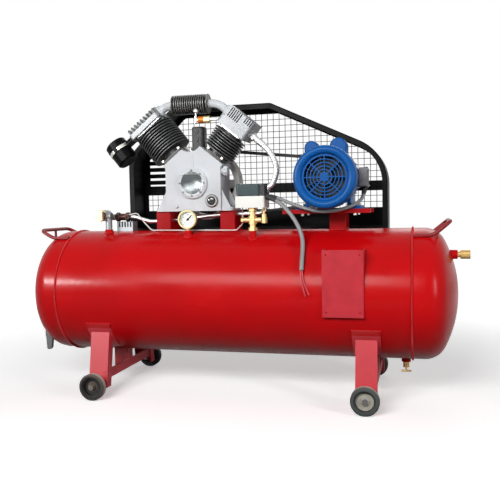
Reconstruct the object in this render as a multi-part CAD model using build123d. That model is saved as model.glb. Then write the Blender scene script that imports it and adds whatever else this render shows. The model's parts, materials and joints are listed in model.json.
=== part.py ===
from build123d import *
import math
import os

# Tank-mounted two-stage V-twin air compressor, belt driven, on four wheels.
# Millimetres, +Z up. X runs along the receiver, the gauge side faces -Y and the floor is z = 0.
# Everything is laid out from the middle of the receiver and moved by ORIGIN_X on export, so that
# the origin is under the middle of the whole machine.

# ---------------------------------------------------------------- receiver (tank)
TANK_OD = 480.0
TANK_WALL = 5.0
SHELL_LENGTH = 1330.0          # between the two circumferential welds
HEAD_FLANGE = 40.0             # straight flange of each pressed head
HEAD_DEPTH = 120.0             # crown of each head beyond its flange
HEAD_KNUCKLE = 82.0            # knuckle radius; the crown radius follows from the depth
TANK_AXIS_Z = 385.0
WELD_HEIGHT = 2.5
WELD_WIDTH = 9.0

# bosses welded on the receiver: centre, outside, bore and where the outer face lies
GAUGE_X, GAUGE_Y = -170.0, -97.0
GAUGE_BOSS_OD, GAUGE_BOSS_BORE, GAUGE_BOSS_TOP = 26.0, 11.0, 627.0
MANIFOLD_X, MANIFOLD_Y = 90.0, -115.0
MANIFOLD_BOSS_OD, MANIFOLD_BOSS_BORE, MANIFOLD_BOSS_TOP = 26.0, 13.0, 624.0
INLET_X, INLET_Y = -523.0, -50.0
INLET_BOSS_OD, INLET_BOSS_BORE, INLET_BOSS_TOP = 32.0, 16.0, 632.0
DRAIN_X = 640.0
DRAIN_BOSS_OD, DRAIN_BOSS_BORE, DRAIN_BOSS_DROP = 34.0, 12.0, 16.0
OUTLET_Z = 527.0
OUTLET_SOCKET_OD, OUTLET_SOCKET_END = 34.0, 822.0

# outlet fitting in the socket of the right-hand head
OUTLET_THREAD_BORE = 18.6      # tapping size of a half-inch pipe thread
OUTLET_THREAD_DEPTH = 22.0
OUTLET_NECK_OD, OUTLET_NECK_LENGTH = 22.0, 10.0
OUTLET_HEX_AF, OUTLET_HEX_LENGTH = 30.0, 34.0

# drain cock under the right-hand end
DRAIN_BODY_LENGTH, DRAIN_HEX_AF, DRAIN_SPINDLE = 22.0, 19.0, 7.0
DRAIN_T_LENGTH, DRAIN_T_ROD, DRAIN_SPINDLE_LENGTH = 38.0, 7.0, 14.0
DRAIN_SPOUT_LENGTH, DRAIN_SPOUT_OD, DRAIN_SPOUT_BORE = 16.0, 11.0, 5.0

# ---------------------------------------------------------------- undercarriage
LEG_X_LEFT, LEG_X_RIGHT = -500.0, 510.0
LEG_WIDTH = 75.0
LEG_FLANGE = 38.0
LEG_THICKNESS = 5.0
LEG_TOP_Y, LEG_TOP_Z = 198.0, 262.0
LEG_FOOT_Y, LEG_FOOT_Z = 236.0, 36.0
SADDLE_WIDTH, SADDLE_THICKNESS, SADDLE_RISE = 97.0, 6.0, 34.0
CROSS_BAR_Z, CROSS_BAR_HEIGHT, CROSS_BAR_THICKNESS = 66.0, 34.0, 8.0
POST_WIDTH, POST_DEPTH = 62.0, 40.0
WHEEL_OD, WHEEL_WIDTH, WHEEL_OUTER_Y = 100.0, 30.0, 292.0
TYRE_THICKNESS = 14.0
AXLE_DIAMETER = 12.0
AXLE_BOSS_OD, AXLE_BOSS_LENGTH = 26.0, 18.0
AXLE_HEAD_AF, AXLE_HEAD_HEIGHT = 19.0, 6.0
RUNNING_CLEARANCE = 0.05       # on radius, shafts and axles in their bores
SIDE_CLEARANCE = 0.3           # along the axis, between parts that turn and parts that don't

# ---------------------------------------------------------------- handles and lug
HANDLE_ROD = 14.0
HANDLE_HALF_WIDTH = 115.0
HANDLE_WELD_X, HANDLE_KNEE_X, HANDLE_TIP_X = 668.0, 735.0, 793.0
HANDLE_WELD_Z, HANDLE_TIP_Z_RIGHT, HANDLE_TIP_Z_LEFT = 601.5, 650.0, 633.0
HANDLE_KNEE_RADIUS, HANDLE_CORNER_RADIUS = 55.0, 30.0
HANDLE_STRUT_ROD = 10.0
LUG_Y, LUG_THICKNESS = -90.0, 14.0
LUG_OUTER_X, LUG_WIDTH = -800.0, 34.0
LUG_TOP_Z, LUG_TIP_Z, LUG_TIP_WIDTH = 222.0, 145.0, 20.0

# ---------------------------------------------------------------- starter plate
PLATE_X, PLATE_Z = 435.5, 444.0
PLATE_WIDTH, PLATE_HEIGHT, PLATE_FACE_Y = 143.0, 232.0, -250.0
PLATE_THICKNESS = 3.0
PLATE_HOLE_PITCH_X, PLATE_HOLE_PITCH_Z, PLATE_HOLE = 115.0, 198.0, 6.0

# ---------------------------------------------------------------- compressor pump
CRANK_X, CRANK_Z = -163.0, 808.0
V_HALF_ANGLE = 39.0
CASE_HALF_WIDTH = 112.0
CASE_FRONT_Y, CASE_BACK_Y = -50.0, 80.0
CASE_BASE_Z = 700.0
CASE_WALL = 9.0
CASE_SEAL_LIP = 3.0
DECK_DISTANCE = 130.0          # crank axis to the face that a cylinder stands on
DECK_OUTER_HALF = 49.0         # from a cylinder's axis to the deck's outer edge
LP_DECK_INNER_HALF, HP_DECK_INNER_HALF = 49.0, 66.0
VALLEY_DX, VALLEY_DZ = -6.0, 121.0     # lowest point of the rounded valley between the decks
FOOT_HALF_WIDTH, FOOT_THICKNESS, FOOT_SETBACK = 158.0, 13.0, 6.0
FOOT_BOLT_X, FOOT_BOLT_Y = 132.0, 34.0
FOOT_BOLT, FOOT_BOLT_HOLE, FOOT_BOLT_AF, FOOT_BOLT_HEAD = 12.0, 13.0, 19.0, 8.0
CASE_RIDGE_WIDTH, CASE_RIDGE_PROUD = 8.0, 2.5
OIL_PLUG_DX, OIL_PLUG_DZ, OIL_PLUG_OD, OIL_PLUG_PROUD = -69.0, -86.0, 17.0, 7.0
CASE_CORNER = 10.0
CRANK_THROW = 30.0
ROD_LENGTH = 130.0             # between crank pin and wrist pin
MAIN_JOURNAL = 40.0
CRANK_PIN = 36.0
CRANK_BEARING_OD, CRANK_BEARING_WIDTH = 80.0, 18.0
WEB_THICKNESS, WEB_RADIUS = 12.0, 62.0
COVER_OD, COVER_THICKNESS, COVER_FACE_OD = 120.0, 14.0, 106.0
DISH_OD, DISH_DEPTH, DISH_TOP = 88.0, 9.0, 31.0        # hollow in the cover and the flat edge over it
LIP_LEFT, LIP_RIGHT, LIP_HEIGHT, LIP_PROUD = -46.0, -4.0, 7.0, 4.0
SIGHT_GLASS_DX, SIGHT_GLASS_DZ, SIGHT_GLASS_OD = 76.0, -69.0, 50.0
FILLER_Y, FILLER_DZ, FILLER_OD = -30.0, 45.0, 38.0

LP_Y, LP_BORE, LP_BARREL_OD, LP_FIN_OD = 10.0, 90.0, 104.0, 164.0
LP_FIN_FIRST, LP_FIN_PITCH, LP_FIN_COUNT = 164.0, 11.0, 11
LP_TOP = 282.0
HP_Y, HP_BORE, HP_BARREL_OD, HP_FIN_OD = -8.0, 55.0, 76.0, 136.0
HP_FIN_FIRST, HP_FIN_PITCH, HP_FIN_COUNT = 158.0, 10.5, 8
HP_TOP = 244.0
FIN_THICKNESS = 3.0
BASE_FLANGE_THICKNESS = 12.0
LP_FLANGE_ACROSS, LP_FLANGE_DEPTH, HP_FLANGE = 98.0, 110.0, 84.0
VALVE_PLATE_THICKNESS = 6.0
VALVE_PORT, VALVE_PORT_SPREAD = 16.0, 0.24      # hole and its offset as a share of the bore
NUT_AF, NUT_HEIGHT, NUT_INSET = 13.0, 8.0, 8.0
PISTON_CLEARANCE = 0.05
LP_PISTON_LENGTH, HP_PISTON_LENGTH = 58.0, 44.0
PISTON_CROWN = 8.0
PISTON_TOP_GAP = 1.0           # crown to valve plate at the top of the stroke

LP_HEAD_WIDTH, LP_HEAD_DEPTH, LP_HEAD_SLAB, LP_HEAD_OFFSET = 152.0, 146.0, 20.0, 6.0
LP_RIB_COUNT, LP_RIB_THICKNESS, LP_RIB_HEIGHT = 9, 5.0, 27.0
HP_HEAD_WIDTH, HP_HEAD_DEPTH, HP_HEAD_HEIGHT = 132.0, 120.0, 78.0
HP_SLOT_WIDTH, HP_SLOT_LENGTH, HP_SLOT_PITCH = 4.5, 40.0, 9.0
HP_SLOTS_LEFT, HP_SLOTS_RIGHT, HP_SHORT_SLOT_LENGTH = 6, 4, 24.0
HP_STEP_WIDTH, HP_STEP_HEIGHT = 16.0, 44.0      # cut beside the port band on the inner side

# intercooler between the two heads
COOLER_Y, COOLER_Z, COOLER_LEFT, COOLER_RIGHT = -12.0, 1115.0, -248.0, -103.0
LP_PORT_ALONG, HP_PORT_ALONG = 312.0, 300.0     # side ports: from the crank axis along the cylinder
COOLER_OD, COOLER_TUBE_OD, COOLER_FIN_COUNT, COOLER_FIN_THICKNESS = 76.0, 40.0, 16, 3.2
ELBOW_OD, ELBOW_WALL, ELBOW_FLANGE, ELBOW_FLANGE_THICKNESS = 32.0, 3.0, 46.0, 9.0

# air filter at the low-pressure head
FILTER_OD, FILTER_LENGTH, FILTER_ACROSS, FILTER_OUTER = 88.0, 94.0, -155.0, 340.0
FILTER_Y, FILTER_NECK_OD = -26.0, 34.0
FILTER_BAND_OD, FILTER_BAND_WIDTH, FILTER_BAND_AT = 91.0, 12.0, 30.0

# interstage safety valve and crankcase breather in the V
SAFETY_X, SAFETY_Y, SAFETY_Z, SAFETY_BALL_Z, SAFETY_BALL = -143.0, -54.0, 1049.0, 1083.0, 20.0
SAFETY_BARREL_LEFT, SAFETY_BARREL_MIDDLE, SAFETY_BARREL_RIGHT = -132.0, -109.0, -86.0
SAFETY_BARREL_OD, SAFETY_HEX_AF, SAFETY_NIPPLE, SAFETY_POST, SAFETY_STEM = 27.0, 24.0, 11.0, 12.0, 5.0
BREATHER_DX, BREATHER_WIDTH, BREATHER_DEPTH, BREATHER_TOP = 10.0, 52.0, 50.0, 222.0
BREATHER_FLANGE, BREATHER_BOSS_OD, BREATHER_BOSS_PROUD = 8.0, 21.0, 3.0

# ---------------------------------------------------------------- belt drive
FLYWHEEL_OD, PULLEY_OD = 290.0, 173.0
SHEAVE_FRONT_Y, GROOVE_PITCH, GROOVE_COUNT = 104.0, 19.0, 3
SHEAVE_EDGE = 11.5             # first and last groove centre to the rim's face
BELT_TOP, BELT_BOTTOM, BELT_HEIGHT = 16.0, 9.0, 10.0
BELT_PROUD = 1.5               # belt back above the rim
BELT_CLEARANCE = 0.3
GROOVE_DEPTH, GROOVE_FLANK = 12.0, 18.0
RIM_THICKNESS = 22.0
FLYWHEEL_HUB_OD, FLYWHEEL_BLADES, BLADE_THICKNESS, BLADE_PITCH_ANGLE = 84.0, 6, 9.0, 32.0
PULLEY_HUB_OD, PULLEY_WEB, PULLEY_HOLES, PULLEY_HOLE = 54.0, 14.0, 4, 18.0

# ---------------------------------------------------------------- motor
MOTOR_X = 371.0
MOTOR_AXIS_HEIGHT = 112.0      # frame size 112: axis above the feet
MOTOR_BASE_Z = 699.0
MOTOR_BODY_OD, MOTOR_FIN_HEIGHT, MOTOR_FIN_COUNT, MOTOR_FIN_THICKNESS = 184.0, 12.0, 28, 4.0
MOTOR_BODY_FRONT_Y, MOTOR_BODY_BACK_Y = -128.0, 52.0
STATOR_BORE, ROTOR_OD, ROTOR_LENGTH, STATOR_OD = 110.0, 109.0, 110.0, 166.0
SHIELD_THICKNESS, SHIELD_OD, SHIELD_BOSS_OD, SHIELD_FRONT = 28.0, 192.0, 84.0, 16.0
MOTOR_SHAFT, MOTOR_BEARING_OD, MOTOR_BEARING_WIDTH, BEARING_INSET = 28.0, 62.0, 16.0, 4.0
COWL_OD, COWL_FRONT_Y, COWL_BACK_Y, COWL_WALL = 220.0, -218.0, -124.0, 2.5
COWL_ROLL = 15.0               # radius of the rolled front edge and depth of the grille behind it
GRILLE_RINGS, GRILLE_SLOT, GRILLE_FIRST_RADIUS, GRILLE_PITCH = 5, 8.5, 16.0, 12.0
GRILLE_SPOKES, GRILLE_SPOKE_WIDTH = 4, 3.5       # bars right across the grille
FAN_OD, FAN_BLADES, FAN_WIDTH = 184.0, 7, 34.0
FAN_HUB_OD, FAN_FRONT_Y, FAN_BLADE_THICKNESS = 50.0, -196.0, 3.0
MOTOR_FOOT_X, FEET_INNER, FEET_OUTER, FOOT_PLATE = 95.0, 68.0, 117.0, 12.0
FOOT_BOLT_FRONT_Y, FOOT_BOLT_BACK_Y = -108.0, 32.0
EAR_FRONT_Y, EAR_BACK_Y = -62.0, 4.0
EARS = ((-68.0, 25.0, 140.0), (31.0, 31.0, 148.0))    # centre, half width, top, from the shaft
TERMINAL_START, TERMINAL_DEPTH = 107.0, 32.0
TERMINAL_BOX_Y, TERMINAL_BOX_Z = -50.0, 1.0
TERMINAL_BOX_WIDTH, TERMINAL_BOX_HEIGHT = 62.0, 70.0
RAIL_LEFT, RAIL_RIGHT, RAIL_HEIGHT, RAIL_WIDTH = 205.0, 522.0, 15.0, 46.0

# pedestals between the receiver and the machines on it
PEDESTAL_WIDTH, PEDESTAL_WALL = 62.0, 5.0
PUMP_PEDESTAL_FRONT_Y, PUMP_PEDESTAL_BACK_Y = -32.0, 78.0
MOTOR_PEDESTAL_X, MOTOR_PEDESTAL_FRONT_Y, MOTOR_PEDESTAL_BACK_Y = 396.0, -46.0, 62.0

# ---------------------------------------------------------------- belt guard
GUARD_LEFT, GUARD_RIGHT, GUARD_TOP, GUARD_BOTTOM = -493.0, 571.0, 1121.0, 612.0
GUARD_FRONT_Y, GUARD_BACK_Y = 92.0, 250.0
GUARD_SHEET, GUARD_FLANGE = 3.0, 20.0
GUARD_TOP_LEFT_X, GUARD_TOP_RIGHT_X = -300.0, 118.0
GUARD_LEFT_EAVE_Z, GUARD_RIGHT_EAVE_Z = 930.0, 911.0
GUARD_SPLIT_Z, GUARD_SKIRT_TOP = 790.0, 702.0
GUARD_RADIUS_RIGHT, GUARD_RADIUS_LEFT, GUARD_RADIUS_CREST, GUARD_RADIUS_KNEE = 180.0, 120.0, 60.0, 30.0
NET_CELL, NET_BAR, NET_THICKNESS = 54.0, 5.0, 2.0
LOUVRE_RIGHT, LOUVRE_TOP = -370.0, 1000.0        # blank panel at the guard's left edge
LOUVRE_COUNT, LOUVRE_FIRST_Z, LOUVRE_PITCH, LOUVRE_HEIGHT, LOUVRE_MARGIN = 5, 807.0, 28.0, 10.0, 10.0
GUARD_FOOT_X, GUARD_FOOT_WIDTH, GUARD_FOOT_DEPTH, GUARD_FOOT_SHEET = 330.0, 40.0, 50.0, 4.0

# ---------------------------------------------------------------- instruments and piping
GAUGE_CASE_OD, GAUGE_DIAL_OD, GAUGE_DEPTH, GAUGE_Z = 74.0, 64.0, 28.0, 669.0
GAUGE_STEM_AF, GAUGE_GLASS_THICKNESS, GAUGE_BACK_Y = 14.0, 2.0, -83.0
DIAL_LEDGE, DIAL_THICKNESS, GLASS_LEDGE = 11.0, 1.5, 22.0
NEEDLE_PIN, NEEDLE_LENGTH, NEEDLE_THICKNESS, NEEDLE_REST = 3.0, 23.0, 1.0, 45.0
SWITCH_LEFT, SWITCH_WIDTH, SWITCH_DEPTH, SWITCH_HEIGHT = 29.0, 112.0, 80.0, 43.0
SWITCH_FRONT_Y, SWITCH_Z = -142.0, 709.0
SWITCH_WALL, SWITCH_FLOOR = 2.5, 4.0
COVER_BOX_WIDTH, COVER_BOX_DEPTH, COVER_BOX_HEIGHT, COVER_BOX_GAP = 88.0, 66.0, 42.0, 3.0
MANIFOLD_OD, MANIFOLD_HEX_AF, ARM_Z, ARM_REACH, ARM_OD = 22.0, 30.0, 664.0, 34.0, 18.0
CAPILLARY_OD = 5.0
VALVE_BODY_X, TEE_LEFT, TEE_RIGHT, PILOT_LEFT = -546.0, -508.0, -452.0, -500.0

# delivery pipe, braided hose and unloader line: points of their routes
PIPE_OD, PIPE_WALL, PIPE_HOLE_CLEARANCE = 16.0, 2.0, 3.0
PIPE_Y = -10.0
PIPE_TOP = (118.0, PIPE_Y, 735.0)
PIPE_ROUTE = [PIPE_TOP, (118, PIPE_Y, 688), (-75, 10, 684), (-300, 14, 662), (-368, 6, 661), (-430, 0, 681),
              (-452, 0, 681)]
PIPE_RADII = [32, 150, 120, 50, 50]
HOSE_OD, HOSE_PORT_ALONG, HOSE_FITTING, HOSE_BOTTOM_FITTING = 21.0, 281.0, 38.0, 18.0
UNLOADER_ROUTE = [(-449, -18, 690), (-412, -22, 696), (-372, -40, 656), (-338, -52, 627), (14, -64, 625),
                  (46, -92, 650), (46, -92, SWITCH_Z)]
UNLOADER_RADII = [20, 40, 30, 24, 20]

# cords: diameters and the points of their routes
MAINS_OD, MOTOR_CORD_OD, CORE_OD = 15.0, 12.5, 4.0
MAINS_ROUTE = [(152, -114, 746), (190, -124, 733), (234, -146, 692), (266, -154, 646), (284, -161, 601),
               (289, -186, 559), (290, -217, 516), (291, -231, 488)]
CORE_ROUTES = ([(288.5, -231, 488), (290, -243, 456), (300, -249, 426), (306, -249, 400)],
               [(293.5, -231, 488), (297, -242, 457), (309, -249, 428), (320, -251, 405)])
MOTOR_ROUTE = [(152, -90, 748), (176, -98, 746), (205, -120, 736), (250, -146, 718), (300, -152, 701),
               (350, -156, 690), (402, -156, 693), (452, -148, 706), (484, -120, 724), (494, -80, 744),
               (495, -50, 768)]

# origin under the middle of the machine: the receiver's left end to the outlet fitting's face
HALF_TANK = SHELL_LENGTH / 2 + HEAD_FLANGE + HEAD_DEPTH
OUTLET_FACE_X = OUTLET_SOCKET_END + OUTLET_NECK_LENGTH + OUTLET_HEX_LENGTH
ORIGIN_X = (OUTLET_FACE_X - HALF_TANK) / 2

TANK_RADIUS = TANK_OD / 2
DRAIN_TOP_Z = TANK_AXIS_Z - TANK_RADIUS - DRAIN_BOSS_DROP
MOTOR_Z = MOTOR_BASE_Z + MOTOR_AXIS_HEIGHT
SHEAVE_WIDTH = 2 * SHEAVE_EDGE + (GROOVE_COUNT - 1) * GROOVE_PITCH
SHEAVE_BACK_Y = SHEAVE_FRONT_Y + SHEAVE_WIDTH
LP_FRAME = Pos(CRANK_X, LP_Y, CRANK_Z) * Rot(0, -V_HALF_ANGLE, 0)
HP_FRAME = Pos(CRANK_X, HP_Y, CRANK_Z) * Rot(0, V_HALF_ANGLE, 0)


# ================================================================ small helpers
def block(x0, x1, y0, y1, z0, z1):
    """Box between two opposite corners."""
    centre = Pos((x0 + x1) / 2, (y0 + y1) / 2, (z0 + z1) / 2)
    return centre * Box(abs(x1 - x0), abs(y1 - y0), abs(z1 - z0))


def rod_x(x0, x1, y, z, diameter):
    """Cylinder along X."""
    return Pos((x0 + x1) / 2, y, z) * Rot(0, 90, 0) * Cylinder(diameter / 2, abs(x1 - x0))


def rod_y(x, y0, y1, z, diameter):
    """Cylinder along Y."""
    return Pos(x, (y0 + y1) / 2, z) * Rot(90, 0, 0) * Cylinder(diameter / 2, abs(y1 - y0))


def rod_z(x, y, z0, z1, diameter):
    """Cylinder along Z."""
    return Pos(x, y, (z0 + z1) / 2) * Cylinder(diameter / 2, abs(z1 - z0))


def hex_prism(across_flats, height):
    """Hexagonal prism on z = 0, along +Z."""
    return extrude(RegularPolygon(across_flats / 2, 6, major_radius=False), amount=height)


def hex_between(start, end, across_flats):
    """Hexagonal prism from one point to another."""
    axis = Vector(*end) - Vector(*start)
    return Plane(origin=start, z_dir=axis) * hex_prism(across_flats, axis.length)


def rod_between(start, end, diameter):
    """Cylinder from one point to another."""
    axis = Vector(*end) - Vector(*start)
    placed = Plane(origin=start, z_dir=axis)
    return placed * Cylinder(diameter / 2, axis.length, align=(Align.CENTER, Align.CENTER, Align.MIN))


def bent_rod(points, radii, diameter, wall=0.0):
    """Round bar or tube along straight runs joined by tangent arcs."""
    path = FilletPolyline(*points, radius=radii)
    start = Plane(origin=path @ 0, z_dir=path % 0)
    section = Circle(diameter / 2)
    if wall:
        section -= Circle(diameter / 2 - wall)
    return sweep(start * section, path=path)


def turned(profile):
    """Revolve a closed (radius, z) outline about Z."""
    face = make_face(Polyline(*[(r, 0, z) for r, z in profile], close=True))
    return revolve(face, Axis.Z)


def facing_back(shape, x, y, z):
    """Put a part turned about Z on an axis along +Y that starts at y."""
    return Pos(x, y, z) * Rot(-90, 0, 0) * shape


def tank_blank(growth=0.0):
    """Plain outer form of the receiver with its torispherical heads, grown by a given amount."""
    half = SHELL_LENGTH / 2 + HEAD_FLANGE
    radius, depth, knuckle = TANK_RADIUS + growth, HEAD_DEPTH + growth, HEAD_KNUCKLE + growth
    seat = radius - knuckle
    crown = (seat ** 2 + depth ** 2 - knuckle ** 2) / (2 * (depth - knuckle))
    tilt = math.asin(seat / (crown - knuckle))
    join = (half + depth - crown + crown * math.cos(tilt), crown * math.sin(tilt))
    middle = tilt / 2 + math.pi / 4
    bulge = (half + knuckle * math.cos(middle), seat + knuckle * math.sin(middle))
    top = half + depth - crown + crown * math.cos(tilt / 2), crown * math.sin(tilt / 2)
    outline = []
    for side in (1, -1):
        outline.append(ThreePointArc((side * (half + depth), 0), (side * top[0], top[1]),
                                     (side * join[0], join[1])))
        outline.append(ThreePointArc((side * join[0], join[1]), (side * bulge[0], bulge[1]),
                                     (side * half, radius)))
    outline.append(Line((half, radius), (-half, radius)))
    outline.append(Line((-half - depth, 0), (half + depth, 0)))
    return Pos(0, 0, TANK_AXIS_Z) * revolve(make_face(outline), Axis.X)


def shell_cylinder(growth=0.0):
    """Straight cylinder of the shell, for seats that never reach the heads."""
    return rod_x(-SHELL_LENGTH / 2, SHELL_LENGTH / 2, 0, TANK_AXIS_Z, TANK_OD + 2 * growth)


def weld_bead(side):
    """Circumferential weld at one end of the shell, as a chamfered band."""
    bead = rod_x(side * (SHELL_LENGTH - WELD_WIDTH) / 2, side * (SHELL_LENGTH + WELD_WIDTH) / 2,
                 0, TANK_AXIS_Z, TANK_OD + 2 * WELD_HEIGHT)
    return chamfer(bead.edges(), WELD_HEIGHT * 0.8)


# ================================================================ receiver and undercarriage
def make_tank():
    """Receiver: shell, two pressed heads, weld beads and screwed bosses."""
    tank = tank_blank()
    for side in (-1, 1):
        tank += weld_bead(side)
    inside = tank_blank(-TANK_WALL)
    upright = ((GAUGE_X, GAUGE_Y, GAUGE_BOSS_TOP, GAUGE_BOSS_OD, GAUGE_BOSS_BORE),
               (MANIFOLD_X, MANIFOLD_Y, MANIFOLD_BOSS_TOP, MANIFOLD_BOSS_OD, MANIFOLD_BOSS_BORE),
               (INLET_X, INLET_Y, INLET_BOSS_TOP, INLET_BOSS_OD, INLET_BOSS_BORE))
    for x, y, top, outside, bore in upright:
        tank += rod_z(x, y, TANK_AXIS_Z + TANK_RADIUS / 2, top, outside)
    drain_end = TANK_AXIS_Z - TANK_RADIUS - DRAIN_BOSS_DROP
    tank += rod_z(DRAIN_X, 0, TANK_AXIS_Z - TANK_RADIUS / 2, drain_end, DRAIN_BOSS_OD)
    tank += rod_x(HALF_TANK / 2, OUTLET_SOCKET_END, 0, OUTLET_Z, OUTLET_SOCKET_OD)
    tank -= inside
    for x, y, top, outside, bore in upright:
        tank -= rod_z(x, y, TANK_AXIS_Z, top + 1, bore)
    tank -= rod_z(DRAIN_X, 0, TANK_AXIS_Z, drain_end - 1, DRAIN_BOSS_BORE)
    tank -= rod_x(HALF_TANK / 2, OUTLET_SOCKET_END + 1, 0, OUTLET_Z, OUTLET_THREAD_BORE)
    return tank


def leg_line_y(z):
    """Outer face of the splayed leg at a height."""
    splay = (LEG_FOOT_Y - LEG_TOP_Y) / (LEG_TOP_Z - LEG_FOOT_Z)
    return LEG_TOP_Y + (LEG_TOP_Z - z) * splay


def leg_plate(depth, x0, x1):
    """Sloping strip behind the leg's outer face, between two X planes."""
    top = LEG_TOP_Z + SADDLE_RISE / 2
    outline = [(-leg_line_y(LEG_FOOT_Z), LEG_FOOT_Z), (-leg_line_y(top), top),
               (-leg_line_y(top) + depth, top), (-leg_line_y(LEG_FOOT_Z) + depth, LEG_FOOT_Z)]
    face = make_face(Polyline(*[(0, y, z) for y, z in outline], close=True))
    return Pos(x0, 0, 0) * extrude(face, amount=x1 - x0, dir=(1, 0, 0))


def make_leg_frame(centre_x):
    """Two splayed channel legs, their saddle pads, the tie bar and the middle post."""
    left, right = centre_x - LEG_WIDTH / 2, centre_x + LEG_WIDTH / 2
    leg = leg_plate(LEG_THICKNESS, left, right)
    leg += leg_plate(LEG_FLANGE, left, left + LEG_THICKNESS)
    leg += leg_plate(LEG_FLANGE, right - LEG_THICKNESS, right)
    wheel_z = WHEEL_OD / 2
    boss_end = leg_line_y(wheel_z) + AXLE_BOSS_LENGTH / 2
    leg += rod_y(centre_x, -boss_end, -boss_end + AXLE_BOSS_LENGTH, wheel_z, AXLE_BOSS_OD)
    pad_half = SADDLE_WIDTH / 2
    pad = rod_x(centre_x - pad_half, centre_x + pad_half, 0, TANK_AXIS_Z,
                TANK_OD + 2 * SADDLE_THICKNESS)
    pad &= block(centre_x - pad_half, centre_x + pad_half, -TANK_OD, -TANK_RADIUS * 0.55,
                 0, LEG_TOP_Z + SADDLE_RISE / 2)
    legs = leg + pad
    legs += mirror(legs, Plane.XZ)
    tie_right = right - LEG_THICKNESS
    tie_end = leg_line_y(CROSS_BAR_Z) - LEG_THICKNESS
    legs += block(tie_right - CROSS_BAR_THICKNESS, tie_right, -tie_end, tie_end,
                  CROSS_BAR_Z, CROSS_BAR_Z + CROSS_BAR_HEIGHT)
    post = block(centre_x - POST_WIDTH / 2, centre_x + POST_WIDTH / 2, -POST_DEPTH / 2,
                 POST_DEPTH / 2, CROSS_BAR_Z, TANK_AXIS_Z - TANK_RADIUS / 2)
    post -= block(centre_x - POST_WIDTH / 2 + LEG_THICKNESS, centre_x + POST_WIDTH / 2 - LEG_THICKNESS,
                  -POST_DEPTH / 2 + LEG_THICKNESS, POST_DEPTH / 2 - LEG_THICKNESS,
                  0, TANK_AXIS_Z)
    legs += post
    legs -= shell_cylinder()
    bore = AXLE_DIAMETER + 2 * RUNNING_CLEARANCE
    legs -= rod_y(centre_x, -WHEEL_OUTER_Y, -TANK_RADIUS / 2, wheel_z, bore)
    legs -= rod_y(centre_x, TANK_RADIUS / 2, WHEEL_OUTER_Y, wheel_z, bore)
    return legs


def make_wheel():
    """Cast wheel about +Z from its inner face: dished disc, hub and rim with a solid tyre."""
    rim = WHEEL_OD / 2 - TYRE_THICKNESS
    bore = AXLE_DIAMETER / 2 + RUNNING_CLEARANCE
    hub, top = AXLE_BOSS_OD / 2, WHEEL_WIDTH - AXLE_HEAD_HEIGHT - SIDE_CLEARANCE
    core = turned([(bore, SIDE_CLEARANCE), (hub, SIDE_CLEARANCE), (hub, 9), (rim - 6, 9), (rim - 4, 2),
                   (rim, 2), (rim, WHEEL_WIDTH - 2), (rim - 4, WHEEL_WIDTH - 2), (rim - 7, 17),
                   (hub + 3, 17), (hub, top), (bore, top)])
    edge = WHEEL_OD / 2
    tyre = turned([(rim, 0), (edge - 5, 0), (edge, 5), (edge, WHEEL_WIDTH - 5), (edge - 5, WHEEL_WIDTH),
                   (rim + 2, WHEEL_WIDTH), (rim, WHEEL_WIDTH - 2)])
    return core, tyre


def wheel_place(centre_x, side):
    """Frame of one wheel: +Z of the wheel points outwards."""
    inner_y = side * (WHEEL_OUTER_Y - WHEEL_WIDTH)
    return Pos(centre_x, inner_y, WHEEL_OD / 2) * Rot(-90 * side, 0, 0)


def make_axles():
    """Four shoulder bolts: head outside the wheel, collar against the leg, nut inside."""
    wheel_z = WHEEL_OD / 2
    inner = WHEEL_OUTER_Y - WHEEL_WIDTH
    boss_end = leg_line_y(wheel_z) + AXLE_BOSS_LENGTH / 2
    nut_end = boss_end - AXLE_BOSS_LENGTH
    axles = []
    for centre_x in (LEG_X_LEFT, LEG_X_RIGHT):
        for side in (-1, 1):
            shank = rod_y(centre_x, side * (nut_end - AXLE_HEAD_HEIGHT),
                          side * (WHEEL_OUTER_Y - AXLE_HEAD_HEIGHT), wheel_z, AXLE_DIAMETER)
            collar = rod_y(centre_x, side * boss_end, side * inner, wheel_z, AXLE_BOSS_OD - 2)
            head = hex_between((centre_x, side * (WHEEL_OUTER_Y - AXLE_HEAD_HEIGHT), wheel_z),
                               (centre_x, side * WHEEL_OUTER_Y, wheel_z), AXLE_HEAD_AF)
            nut = hex_between((centre_x, side * nut_end, wheel_z),
                              (centre_x, side * (nut_end - AXLE_HEAD_HEIGHT), wheel_z), AXLE_HEAD_AF)
            axles.append(shank + collar + head + nut)
    return axles


def make_handle(side, tip_z):
    """Bent bar loop on one head, cut to lie on the receiver."""
    half = HANDLE_HALF_WIDTH
    weld, knee, tip = side * HANDLE_WELD_X, side * HANDLE_KNEE_X, side * HANDLE_TIP_X
    points = [(weld, -half, HANDLE_WELD_Z), (knee, -half, HANDLE_WELD_Z), (tip, -half, tip_z),
              (tip, half, tip_z), (knee, half, HANDLE_WELD_Z), (weld, half, HANDLE_WELD_Z)]
    radii = [HANDLE_KNEE_RADIUS, HANDLE_CORNER_RADIUS, HANDLE_CORNER_RADIUS, HANDLE_KNEE_RADIUS]
    handle = bent_rod(points, radii, HANDLE_ROD)
    if side < 0:
        handle += rod_z(tip, 0, TANK_AXIS_Z + TANK_RADIUS / 2, tip_z, HANDLE_STRUT_ROD)
    return handle - tank_blank() - weld_bead(side)


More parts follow.
